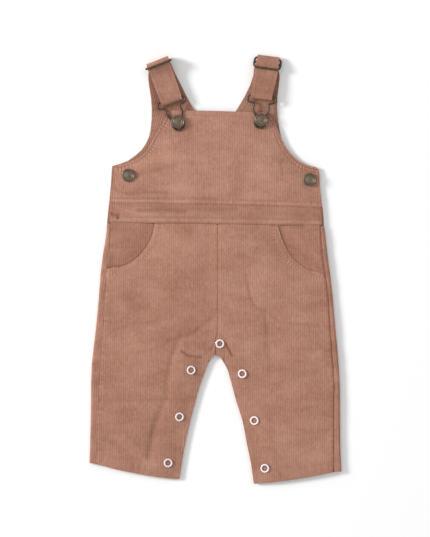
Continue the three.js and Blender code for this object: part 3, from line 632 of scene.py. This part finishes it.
bibLook = {
    "name": "bib_front", "cell": (wale / 4, 1.05), "reach": 0.2,
    "creases": [
        {"line": [(72, 117), (73.4, 110), (74.5, 103)], "depth": 0.35, "width": 1.4, "shade": 0.1},
        {"line": [(-108, 86), (-92, 82), (-74, 84), (-52, 83)], "depth": 0.45, "width": 1.8, "shade": 0.26},
        {"line": [(-112, 78), (-80, 77), (-44, 79), (0, 77)], "depth": 0.2, "width": 1, "shade": 0.2},
        {"line": [(-100, 90), (-84, 87.5), (-66, 90)], "depth": 0.25, "width": 2, "shade": 0.1},
        {"line": [(-88, 103), (-66, 108), (-43, 114)], "depth": 0.45, "width": 3, "shade": 0.2},
        {"line": [(-100, 97), (-80, 99)], "depth": -0.3, "width": 2, "shade": -0.14},
        {"line": [(-94, 110), (-70, 118), (-48, 124)], "depth": -0.35, "width": 5, "shade": -0.08},
        {"line": [(-24, 96), (-12, 93), (0, 96)], "depth": 0.3, "width": 5, "shade": 0.08},
        {"line": [(48, 150), (66, 130), (98, 104)], "depth": 0.3, "width": 6, "shade": 0.05},
        {"line": [(24, 124), (30, 100)], "depth": 0.3, "width": 5, "shade": 0.06},
        {"line": [(96, 92), (106, 86), (113, 84)], "depth": 0.3, "width": 2, "shade": 0.1},
    ],
    "seams": [
        {"line": armholeLeft, "stitched": [3.4], "grooveShade": 0.05, "ticks": (3.4, 2.6, 0.45), "ticksAt": 3.8,
         "lines": [(0.7, 0.6, 0.2), (2.0, 0.7, -0.34)]},
        {"line": armholeRight, "stitched": [3.4], "grooveShade": 0.05, "ticks": (3.4, 1.8, 0.36), "ticksAt": 3.8,
         "lines": [(0.7, 0.6, 0.6), (2.2, 0.7, -0.7), (3.5, 0.7, 0.3), (5.3, 0.8, -0.35)]},
        {"line": [(56, 171.7), (0, 173.6), (-50.4, 174.4)], "stitched": [5.2], "welt": (0.3, 5, 0.2),
         "grooveShade": 0.16, "pucker": (0.08, 9, 2.5)},
        {"line": [(-109.6, 113.6), (-113, 94), (-115.4, 73.5)],
         "lines": [(1.2, 0.7, -0.4), (2.8, 0.7, 0.1), (4.2, 0.5, -0.4), (5.3, 0.6, 0.2)],
         "pucker": (0.12, 8, 2)},
        {"line": [(116.4, 68), (115.4, 80), (111.6, 111.2)],
         "lines": [(0.8, 0.6, 0.16), (3.6, 0.6, -0.2), (4.8, 0.7, 0.1)], "pucker": (0.12, 8, 2)},
        {"line": waistLine(waistTop, -115.4, 116.4), "stitched": [4.8], "grooveShade": 0.3,
         "lines": [(0.4, 0.6, -0.45), (2.6, 1.5, 0.1)], "pucker": (0.08, 7, 3)},
    ],
}
bib = sewnSheet("front_bib", bibLook, fabric["bib"])

bandLook = {
    "name": "waistband_front", "cell": (wale / 4, 0.9), "softness": 0.14, "reach": 0.3, "ruck": (16, 2),
    "creases": [
        {"line": [(-114.5, 61), (-111, 59.4), (-106.5, 59)], "depth": 0.6, "width": 1.9, "shade": 0.6},
        {"line": [(-84, 64), (-60, 65), (-34, 64)], "depth": 0.35, "width": 2.6, "shade": 0.34},
        {"line": [(-58, 59.5), (-40, 59), (-24, 60)], "depth": -0.2, "width": 1.5, "shade": -0.12},
        {"line": [(-108, 67.5), (-90, 62.5), (-70, 59.5)], "depth": -0.2, "width": 1.2, "shade": -0.18},
        {"line": [(-106, 70.5), (-70, 69), (-30, 69.5)], "depth": 0.2, "width": 0.9, "shade": 0.2},
        {"line": [(-30, 66), (0, 65), (24, 66)], "depth": 0.2, "width": 2, "shade": 0.16},
        {"line": [(40, 60), (70, 61), (96, 58.5)], "depth": 0.25, "width": 2, "shade": 0.1},
        {"line": [(108, 66.6), (115.5, 66)], "depth": 0.3, "width": 0.7, "shade": 0.4},
        {"line": [(114.3, 59), (114.5, 52)], "depth": 0.3, "width": 0.6, "shade": 0.3},
    ],
    "dots": [{"at": (-107.5, 56.2), "dome": 0, "radius": 0.9, "pit": 0.6, "shade": 2.4, "around": 0.5}],
    "seams": [
        {"line": waistLine(waistBottom, -115.6, 116.2), "stitched": [6.0], "grooveShade": 0.26,
         "welt": (0.6, 5.6, 0.2), "lines": [(0.2, 0.7, -0.6), (3.4, 1.8, 0.14)], "pucker": (0.06, 6, 2)},
        {"line": waistLine(waistTop, -115.6, 116.2), "lines": [(-0.3, 0.6, -0.45)]},
    ],
}
band = sewnSheet("waistband", bandLook, fabric["band"])

pocketLeft = [(-66.9, 50.7), (-68.8, 39.6), (-73.4, 28.6), (-79.8, 19.4), (-88.9, 10.2),
              (-97.9, 4.8), (-107.3, 2.2), (-119.4, 0.2)]
pocketRight = [(120.6, -6.6), (102.7, -1.6), (91.9, 4.8), (82.6, 14), (75.4, 26.7), (70.8, 39),
               (68.1, 48.6)]
hemLeft = [(-130, -214.3), (-107.5, -220.1), (-85, -224.7), (-62.5, -228.2), (-40, -230.7)]
hemRight = [(42.4, -235.9), (64.3, -233.8), (86.3, -230.9), (108.2, -227.3), (130.1, -222.8)]

sideSeamLeft = [(-115.6, 50), (-117.6, 20), (-119.6, -2), (-121.4, -32), (-123.4, -62), (-125.8, -95),
                (-127.8, -128), (-129.4, -162), (-130.2, -195), (-130.4, -216)]
sideSeamRight = [(130.4, -225), (130.4, -162), (130.8, -128), (128.4, -93), (126.2, -62), (124.4, -34),
                 (120.8, -4), (117.6, 18), (115.6, 50)]


# The domed cloth and the small prong that show inside a snap's ring, with a painted highlight on the prong and
# painted shade beside the ring.
def snapDots(spots):
    prong = {"dome": 0.5, "radius": 2.6, "pit": -0.2, "shade": -0.3, "around": 0.1}
    return [{"at": spot, **prong} for spot in spots]


legLeftLook = {
    "name": "leg_front_left", "reach": 0.35, "softness": 0.3,
    "creases": [
        {"line": [(-37, -90.5), (-28, -95.6), (-15.5, -97.2)], "depth": 0.8, "width": 1.2, "shade": 0.6},
        {"line": [(-34, -87.5), (-24, -91.5), (-14, -92.6)], "depth": -0.3, "width": 2, "shade": -0.12},
        {"line": [(-22, -116), (-12, -117)], "depth": 0.45, "width": 1.6, "shade": 0.25},
        {"line": [(-38, -72.6), (-48, -98), (-52.3, -117.7), (-55.6, -143), (-66.6, -172.7), (-71.4, -197),
                  (-73.2, -208)], "depth": 0.6, "width": 3.2, "shade": 0.16},
        {"line": [(-64, -165), (-70, -180), (-75.5, -205)], "depth": 0.2, "width": 3, "shade": 0.1},
        {"line": [(-128.6, -144.5), (-92, -144.8), (-52.3, -142.8)], "depth": 0.4, "width": 1.7, "shade": 0.15},
        {"line": [(-123, -58), (-90, -59.5), (-60, -58)], "depth": 0.3, "width": 2, "shade": 0.1},
        {"line": [(-0.6, -52.8), (-16, -64.5), (-27, -71.5), (-50, -78.1)], "depth": 0.6, "width": 2.6,
         "shade": 0.16},
        {"line": [(-2, -84), (-5, -89)], "depth": 0.5, "width": 1.5, "shade": 0.3},
        {"line": [(-34, -128), (-52, -122)], "depth": 0.2, "width": 3, "shade": 0.05},
        {"line": [(-28, -60), (-30, -100)], "depth": 0.25, "width": 5, "shade": 0.06},
        {"line": [(-120, -110), (-96, -122)], "depth": 0.25, "width": 5, "shade": 0.07},
        {"line": [(-100, -20), (-84, -50), (-80, -80)], "depth": 0.3, "width": 6, "shade": 0.06},
        {"line": [(-34, 44), (-24, 42)], "depth": 0.2, "width": 1.8, "shade": 0.1},
        {"line": [(-118, -186), (-92, -206)], "depth": 0.3, "width": 4, "shade": 0.12},
        # No depth: colour only, darker towards the hem and lighter at the top.
        {"line": [(-126, -176), (-98, -186), (-76, -182)], "depth": 0.0, "width": 26, "shade": 0.12},
        {"line": [(-60, 30), (-10, 30)], "depth": 0.0, "width": 22, "shade": -0.08},
    ],
    "seams": [
        {"line": pocketLeft, "stitched": [6.3], "grooveShade": 0.0, "groove": 0.12, "ticks": (3.3, 1.8, 0.34),
         "ticksAt": 6.2, "lines": [(0.2, 0.5, -0.9), (1.6, 0.8, 0.1)], "welt": (0.5, 6, 0.1)},
        {"line": hemLeft, "stitched": [10.6], "grooveShade": 0.06, "pucker": (0.12, 8, 4), "puckerAt": 6},
        {"line": sideSeamLeft, "lines": [(0.2, 0.5, -0.25), (1.2, 0.9, 0.1)], "ticks": (6, 2.2, 0.12),
         "ticksAt": 2},
    ],
    "flush": [[(1.1, 48), (1.1, -74), (-0.9, -80), (-0.9, -88)]],
    "dots": snapDots([(-26.8, -111), (-39.6, -162.4), (-52.1, -212.9)]),
    "tacks": [[(-116, -0.6), (-116.4, -6.2)]],
}
legRightLook = {
    "name": "leg_front_right", "reach": 0.35, "softness": 0.3,
    "creases": [
        {"line": [(34.2, -7.7), (40.2, -34), (50, -45), (60.5, -49), (73.2, -58.3), (114, -63.3)], "depth": 0.55,
         "width": 2.2, "shade": 0.17},
        {"line": [(54.5, -47), (56.7, -65), (55.6, -88)], "depth": 0.4, "width": 2.6, "shade": 0.12},
        {"line": [(60, -84), (60.5, -116)], "depth": 0.35, "width": 3, "shade": 0.1},
        {"line": [(11.1, -82), (12.6, -84.4), (18.2, -95)], "depth": 0.8, "width": 1.4, "shade": 0.75},
        {"line": [(60, -160), (66, -200), (72, -226)], "depth": 0.3, "width": 5, "shade": 0.08},
        {"line": [(100, 12), (120, 10)], "depth": 0.4, "width": 2, "shade": 0.1},
        {"line": [(88, -120), (112, -112)], "depth": 0.3, "width": 5, "shade": 0.07},
        {"line": [(30, -100), (38, -140), (46, -186)], "depth": 0.3, "width": 5, "shade": 0.08},
        {"line": [(84, -140), (90, -180)], "depth": -0.3, "width": 7, "shade": -0.05},
        {"line": [(30, 20), (36, -4)], "depth": 0.25, "width": 5, "shade": 0.06},
    ],
    "seams": [
        {"line": pocketRight, "stitched": [6.3], "grooveShade": 0.0, "groove": 0.12, "ticks": (3.3, 1.8, 0.34),
         "ticksAt": 6.2, "lines": [(0.9, 0.7, 0.5), (2.4, 0.7, -0.2)], "welt": (0.5, 6, 0.1)},
        {"line": hemRight, "stitched": [10.6], "grooveShade": 0.06, "pucker": (0.12, 8, 4), "puckerAt": 6},
        {"line": [(1.7, 49.6), (1.7, -10), (1.7, -69)], "stitched": [2.2], "grooveShade": 0.0,
         "lines": [(0.1, 0.7, -0.7), (2.2, 0.8, 0.24)], "pucker": (0.1, 8, 2)},
        {"line": sideSeamRight, "lines": [(0.5, 1.0, -0.9), (2.4, 1.1, -0.14)], "ticks": (6, 2.2, 0.14),
         "ticksAt": 3},
    ],
    "flush": [[(1.7, -60), (1.7, -69), (8.2, -71.8), (10.2, -78), (10.2, -86)]],
    "dots": snapDots([(29.4, -115), (42.6, -166.4), (54.2, -218.8)]),
    "tacks": [[(117.5, -8), (118, -13.5)], [(0.6, -28.4), (8.4, -28.8)], [(3.5, -55.6), (5.6, -30)]],
}
legLeft = sewnSheet("front_leg_left", legLeftLook, fabric["leg"])
legRight = sewnSheet("front_leg_right", legRightLook, fabric["leg"])

hipSeams = {"pucker": (0.15, 8, 2.5), "lines": [(0.2, 0.5, -0.12)]}
pocketShade = {"lines": [(-0.3, 0.8, -0.8)]}
hipLeftLook = {
    "name": "hip_front_left", "reach": 0.7, "drop": 0.2, "rimShade": 0.0,
    "creases": [{"line": [(-115, 51), (-60, 51)], "depth": -0.6, "width": 3, "toRim": True},
                {"line": [(-118.6, 14), (-119.6, -3)], "depth": -1.2, "width": 5, "toRim": True},
                {"line": [(-118, 24), (-96, 30)], "depth": 0.3, "width": 3, "shade": 0.12},
                {"line": [(-112, 34), (-92, 37), (-80, 32)], "depth": -0.3, "width": 3.5, "shade": -0.12},
                {"line": [(-108, 14), (-94, 18)], "depth": -0.2, "width": 4, "shade": -0.08},
                {"line": [(-114, 44), (-90, 42)], "depth": 0.25, "width": 2.5, "shade": 0.14}],
    "seams": [{"line": [(-115.3, 50), (-117, 26), (-119.6, -2)], **hipSeams},
              {"line": pocketLeft, **pocketShade}],
}
hipRightLook = {
    "name": "hip_front_right", "reach": 0.7, "drop": 0.2, "rimShade": 0.0,
    "creases": [{"line": [(116, 48), (62, 49)], "depth": -0.6, "width": 3, "toRim": True},
                {"line": pocketRight, "depth": -1.1, "width": 3, "toRim": True},
                {"line": [(88, 34), (104, 22), (118, 8)], "depth": -0.5, "width": 3, "shade": -0.12},
                {"line": [(84, 26), (100, 12)], "depth": 0.4, "width": 3, "shade": 0.15},
                {"line": [(102, 20), (120, 16)], "depth": 0.3, "width": 2, "shade": 0.12}],
    "seams": [{"line": [(120.5, -4), (117.4, 18), (115.3, 47)], **hipSeams, "lines": [(0.4, 1.0, -0.8)]},
              {"line": pocketRight, **pocketShade}],
}
sewnSheet("hip_left", hipLeftLook, fabric["hip"])
sewnSheet("hip_right", hipRightLook, fabric["hip"])

tabLook = {"name": "crotch_tab_front", "cell": (wale / 4, 0.8), "blur": 1, "softness": 0.05, "roll": 0.8,
           "drop": 0.1, "rimShade": 0, "reach": 0.25, "tuck": (-89, 3.4),
           "dots": snapDots([(4.8, -82)])}
sewnSheet("crotch_tab", tabLook, fabric["leg"])

backBibLook = {
    "name": "bib_back", "cell": (wale / 2, 2.0), "rib": 0, "blur": 1, "softness": 0.0, "drop": 0.5,
    "flush": [[(-71.3, 152.8), (0, 152.8), (70.5, 152.8)]],
    "seams": [
        {"line": [(-71.3, 152.8), (-76.5, 137.5), (-88.5, 124.3), (-105, 115.4), (-113.6, 113)],
         "stitched": [2.4]},
        {"line": [(111.4, 110.4), (103, 112.8), (86, 121.8), (75.4, 137), (70.5, 152.8)], "stitched": [2.4]},
        # Painted light along the right edge, which lies in the waistband's shadow.
        {"line": [(117.8, 46), (116, 74), (112.6, 104)], "lines": [(0, 2.4, 0.4)]},
    ],
}
sewnSheet("back_bib", backBibLook, fabricBumped["back"])

backStrapLeftLook = {
    "name": "strap_back_left", "grain": -14, "cell": (wale / 4, 1.2), "rib": 0.2, "blur": 1, "softness": 0.0,
    "flush": [[(-71.2, 153.1), (-40, 153.1), (-6.5, 153.1)]],
    # No depth: painted shadow of the front strap on the back strap.
    "creases": [{"line": [(-71, 218), (-68.5, 198), (-64, 178)], "depth": 0, "width": 5.5, "shade": 0.5}],
    "seams": [
        {"line": [(-48.9, 225.8), (-44.4, 214.5), (-38.4, 203), (-32.2, 190), (-24.8, 177), (-16.5, 165),
                  (-6.5, 153.1)][::-1], "stitched": [2, 6.4], "pucker": (0.18, 7, 2.5)},
        {"line": [(-73.6, 216.2), (-73.8, 209), (-72.6, 200), (-70.8, 189), (-69.9, 177), (-70, 165),
                  (-71.2, 153.1)], "stitched": [2], "pucker": (0.18, 7, 2.5)},
    ],
}
backStrapRightLook = {
    "name": "strap_back_right", "grain": 10, "cell": (wale / 4, 1.2), "rib": 0.2, "blur": 1, "softness": 0.0,
    "flush": [[(6.5, 153.1), (40, 153.1), (70.3, 153.1)]],
    # No depth: painted shadow of the front strap on the back strap.
    "creases": [{"line": [(69, 216), (69, 200), (66, 184)], "depth": 0, "width": 3.5, "shade": 0.34}],
    "seams": [
        {"line": [(42.3, 220.6), (41.8, 213), (38.6, 203), (32.4, 190), (24.8, 177), (16.5, 165),
                  (6.5, 153.1)], "stitched": [2, 6.4], "pucker": (0.18, 7, 2.5)},
        {"line": [(70.3, 153.1), (68.4, 165), (67.5, 177), (67.9, 190), (69.6, 203), (70.4, 211),
                  (69.6, 217.1)], "stitched": [2], "pucker": (0.18, 7, 2.5)},
    ],
}
sewnSheet("back_strap_left", backStrapLeftLook, fabric["back"])
sewnSheet("back_strap_right", backStrapRightLook, fabric["back"])
print("flat panels made")


# Cloth that folds over itself: the solid's own faces, with the cut edges held and the rest smoothed.
def foldedSheet(node, name, levels):
    piece = copyOf(node, name)
    bpy.ops.object.mode_set(mode="EDIT")
    bpy.ops.mesh.select_all(action="SELECT")
    bpy.ops.mesh.tris_convert_to_quads(face_threshold=math.radians(60), shape_threshold=math.radians(60))
    bpy.ops.mesh.select_mode(type="EDGE")
    bpy.ops.mesh.select_all(action="DESELECT")
    bpy.ops.mesh.edges_select_sharp(sharpness=math.radians(62))
    bpy.ops.transform.edge_crease(value=1)
    bpy.ops.object.mode_set(mode="OBJECT")
    smoothing = piece.modifiers.new("smoothing", "SUBSURF")
    smoothing.levels = levels
    smoothing.render_levels = levels
    bpy.ops.object.modifier_apply(modifier="smoothing")
    return piece


def pointsOf(piece):
    points = np.zeros(len(piece.data.vertices) * 3)
    piece.data.vertices.foreach_get("co", points)
    return points.reshape(-1, 3) / mm


def normalsOf(piece):
    normals = np.zeros(len(piece.data.vertices) * 3)
    piece.data.vertices.foreach_get("normal", normals)
    return normals.reshape(-1, 3)


def setShade(piece, values):
    tone = piece.data.attributes.new("shade", "FLOAT", "POINT")
    tone.data.foreach_set("value", values)


# light: painted light on the turned edge, for the right leg, whose edge faces away from the lamp.
backLegs = [
    {"node": "back_leg_left", "name": "leg_back_left", "side": -1, "light": 0.0, "flat": (0.151, 0.281),
     "area": 0.0349},
    {"node": "back_leg_right", "name": "leg_back_right", "side": 1, "light": 0.2, "flat": (0.15, 0.284),
     "area": 0.0344},
]
foldRadius = 2.8  # of the outer side of a leg
for look in backLegs:
    piece = foldedSheet(look["node"], look["name"], 3)
    points = pointsOf(piece)
    outward = points[:, 0] * look["side"]
    rows = np.round(points[:, 1] / 4).astype(int)
    farthest = {row: outward[rows == row].max() for row in set(rows)}
    foldAt = np.array([farthest[row] for row in rows]) - foldRadius
    angle = np.arctan2(np.maximum(outward - foldAt, 0), foldRadius - points[:, 2])
    folded = np.minimum(outward, foldAt) + foldRadius * angle
    across = np.where((points[:, 2] > foldRadius) & (outward < foldAt),
                      2 * foldAt - outward + math.pi * foldRadius, folded)
    onTop = points[:, 2] > 4.2
    ripple = np.sin(points[:, 1] / 5.2 + np.sin(points[:, 1] / 17) * 2) * 0.18
    points[:, 2] += np.where(onTop, ripple - 0.1, 0)
    piece.data.vertices.foreach_set("co", (points * mm).ravel())
    setGrain(piece, np.column_stack([across * look["side"], points[:, 1]]))
    # The turned edge's ripples get painted light and shade, and the whole turned edge the leg's painted light.
    setShade(piece, np.where(points[:, 2] > 3, ripple * 0.5 + look["light"], 0))
    bpy.ops.object.shade_smooth_by_angle(angle=math.radians(50))
    finish(piece, fabricBumped["back"], [look["node"]])
print("back legs made")

straps = [
    {"node": "strap_left", "name": "strap_front_left", "top": (-64.2, 229.4), "lean": 19.5, "turned": 20.5,
     "below": "strap_back_left", "flat": (0.0255, 0.102)},
    {"node": "strap_right", "name": "strap_front_right", "top": (58.5, 233.8), "lean": -10.2, "turned": -7.2,
     "below": "strap_back_right", "flat": (0.0245, 0.098)},
]
for look in straps:
    piece = foldedSheet(look["node"], look["name"], 3)
    points = pointsOf(piece)
    relative = points[:, :2] - look["top"]
    across = np.array([math.cos(math.radians(look["turned"])), math.sin(math.radians(look["turned"]))])
    down = np.array([math.sin(math.radians(look["lean"])), -math.cos(math.radians(look["lean"]))])
    side, run = relative @ across, relative @ down
    setGrain(piece, np.column_stack([side, run]))
    hem = np.exp(-((np.abs(side) - 9.4) / 1.2) ** 2)
    dots = np.clip(np.sin(run * 2.1 + np.sin(run / 3) * 2) + 0.2, 0, 1)
    lighterEdgeDots = np.exp(-((np.abs(side) - 11.8) / 0.8) ** 2) * dots
    sag = 0.25 * np.sin(run / 6.5 + look["lean"]) * (run > 8) * (run < 42)
    points = points + normalsOf(piece) * (-0.12 * hem * (run > 9))[:, None]
    points[:, 2] += sag
    piece.data.vertices.foreach_set("co", (points * mm).ravel())
    soft = 0.1 * np.sin(run / 4.7 + side / 6) * np.sin(side / 4.1 - run / 9)
    # Lighter dots along both edges, soft random patches, painted shade in the hem grooves and a band of painted
    # shade near the lower fold by the buckle.
    setShade(piece, 0.34 * lighterEdgeDots + soft - 0.04 * hem - 0.22 * np.exp(-((run - 39) / 3) ** 2))
    bpy.ops.object.shade_smooth_by_angle(angle=math.radians(50))
    finish(piece, fabricBumped["strap"], [look["node"]])
print("straps made")


# Bent wire: the solid's own wire, fattened to make up for what smoothing takes off.
def smoothWire(node, fatten=0.42):
    piece = copyOf(node, node + "_wire")
    bpy.ops.object.mode_set(mode="EDIT")
    bpy.ops.mesh.select_all(action="SELECT")
    bpy.ops.mesh.tris_convert_to_quads(face_threshold=math.radians(60), shape_threshold=math.radians(60))
    bpy.ops.transform.shrink_fatten(value=fatten * mm)
    bpy.ops.object.mode_set(mode="OBJECT")
    smoothing = piece.modifiers.new("smoothing", "SUBSURF")
    smoothing.levels = 2
    smoothing.render_levels = 2
    bpy.ops.object.modifier_apply(modifier="smoothing")
    bpy.ops.object.shade_smooth()
    return finish(piece, brassWireShaded, [node])


for node in ("slider_left", "slider_right", "buckle_left", "buckle_right"):
    smoothWire(node)


# A turned shape: a disc that is extruded and resized from one radius and height to the next.
def turnedPiece(name, profile, sides=48):
    alone(None)
    radius, z = profile[0]
    bpy.ops.mesh.primitive_circle_add(vertices=sides, radius=radius * mm, fill_type="NGON")
    piece = bpy.context.object
    piece.name = name
    bpy.ops.object.mode_set(mode="EDIT")
    bpy.ops.mesh.select_all(action="SELECT")
    bpy.ops.transform.translate(value=(0, 0, z * mm))
    for nextRadius, nextZ in profile[1:]:
        bpy.ops.mesh.extrude_region_move(TRANSFORM_OT_translate={"value": (0, 0, (nextZ - z) * mm)})
        factor = nextRadius / radius
        bpy.ops.transform.resize(value=(factor, factor, 1))
        radius, z = nextRadius, nextZ
    bpy.ops.mesh.select_all(action="SELECT")
    bpy.ops.mesh.normals_make_consistent(inside=False)
    bpy.ops.object.mode_set(mode="OBJECT")
    bpy.ops.object.shade_smooth_by_angle(angle=math.radians(40))
    return piece


# A button's cap, as radius and height: a rolled rim, a groove, a raised ring and a low dome.
buttonLook = {
    "neck": 2.4,
    "rim": [(6.2, 0.0), (6.9, 0.15), (7.25, 0.6), (7.2, 1.2), (6.8, 1.65), (6.35, 1.75), (5.9, 1.5), (5.6, 1.05),
            (5.25, 1.0), (4.95, 1.3), (4.6, 1.4), (4.3, 1.3), (4.0, 1.1), (3.5, 1.25), (3.0, 1.4), (2.6, 1.3),
            (2.2, 1.42), (1.5, 1.6), (0.8, 1.7), (0.3, 1.74)],
}
for node in ("bib_button_left", "bib_button_right", "side_button_left", "side_button_right"):
    low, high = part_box(node)
    centre = (low + high) / 2
    capZ = high.z / mm - 2.4
    profile = [(buttonLook["neck"], low.z / mm), (buttonLook["neck"], capZ)]
    profile += [(radius, capZ + z) for radius, z in buttonLook["rim"]]
    piece = turnedPiece(node + "_cap", profile)
    bpy.ops.object.mode_set(mode="EDIT")
    bpy.ops.mesh.select_all(action="SELECT")
    bpy.ops.transform.translate(value=(centre.x, centre.y, 0))
    bpy.ops.object.mode_set(mode="OBJECT")
    finish(piece, brass, [node])
print("buckles, sliders and buttons made")

snapLook = {"middle": 3.95, "wire": 0.86, "flatness": 0.6}
snapNodes = ["snap_centre"] + [f"snap_{side}_{k}" for side in ("left", "right") for k in (1, 2, 3)]
for node in snapNodes:
    low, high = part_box(node)
    centre = (low + high) / 2
    alone(None)
    bpy.ops.mesh.primitive_torus_add(major_segments=48, minor_segments=14,
                                     major_radius=snapLook["middle"] * mm, minor_radius=snapLook["wire"] * mm)
    piece = bpy.context.object
    piece.name = node + "_ring"
    bpy.ops.object.mode_set(mode="EDIT")
    bpy.ops.mesh.select_all(action="SELECT")
    bpy.ops.transform.resize(value=(1, 1, snapLook["flatness"]))
    points = np.array([v.co[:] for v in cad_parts[node].data.vertices])
    spread = points - points.mean(0)
    normal = Vector(np.linalg.eigh(spread.T @ spread)[1][:, 0])
    normal = normal if normal.z > 0 else -normal
    bpy.ops.object.mode_set(mode="OBJECT")
    matrix = Vector((0, 0, 1)).rotation_difference(normal).to_matrix().to_4x4()
    matrix.translation = centre
    piece.data.transform(matrix)
    bpy.ops.object.shade_smooth()
    finish(piece, enamel, [node])
print("snaps made")

# Pale floor, soft light from the upper left, camera straight above.
alone(None)
bpy.ops.mesh.primitive_plane_add(size=6, location=(0, 0, -0.0003))
floor = bpy.context.object
floor.name = "floor"
floorShader = Shader(bpy.data.materials.new("floor"))
floorPlace = floorShader.node("ShaderNodeTexCoord", None, None, 3)
floorTone = floorShader.noise(floorPlace, 3.0)
floorColour = floorShader.blend(floorTone, (0.92, 0.92, 0.92, 1), (0.945, 0.945, 0.945, 1))
floor.data.materials.append(floorShader.surface({"Base Color": floorColour, "Roughness": 0.9}))
floor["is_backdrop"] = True

lamp = {"from": (-0.97, 0.243), "elevation": 27.5, "distance": 4.5, "size": 1.05, "power": 177.0}
light = bpy.data.lights.new("window", "AREA")
light.size = lamp["size"]
light.energy = lamp["power"]
lampHolder = bpy.data.objects.new("window", light)
level = lamp["distance"] * math.cos(math.radians(lamp["elevation"]))
lampHolder.location = (level * lamp["from"][0], level * lamp["from"][1],
                       lamp["distance"] * math.sin(math.radians(lamp["elevation"])))
lampHolder.rotation_euler = (-lampHolder.location).to_track_quat("-Z", "Y").to_euler()
bpy.context.scene.collection.objects.link(lampHolder)

# The room is brighter overhead than at the horizon.
room = {"horizon": 0.42, "overhead": 0.86}
sky = Shader(bpy.data.worlds.new("studio"))
direction = sky.node("ShaderNodeTexCoord")
upward = sky.split(direction)[2]
brightness = upward.size() * (room["overhead"] - room["horizon"]) + room["horizon"]
glow = sky.node("ShaderNodeBackground", None, {"Color": (1, 1, 1, 1), "Strength": brightness})
sky.node("ShaderNodeOutputWorld", None, {"Surface": glow})
bpy.context.scene.world = sky.owner
bpy.context.scene.view_settings.view_transform = "Standard"

view = {"pixels": (430, 537), "mmPerPixel": 1.1, "lens": 200.0, "sensor": 36.0}
tall = view["pixels"][1] * view["mmPerPixel"] * mm
camera = bpy.data.cameras.new("camera")
camera.lens = view["lens"]
camera.sensor_width = view["sensor"]
holder = bpy.data.objects.new("camera", camera)
holder.location = (-0.5 * view["mmPerPixel"] * mm, 0.5 * view["mmPerPixel"] * mm,
                   tall / 2 / (view["sensor"] / 2 / view["lens"]))
camera.clip_end = 20
bpy.context.scene.collection.objects.link(holder)
bpy.context.scene.camera = holder
print("light and camera set")

bpy.context.view_layer.update()
low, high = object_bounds()
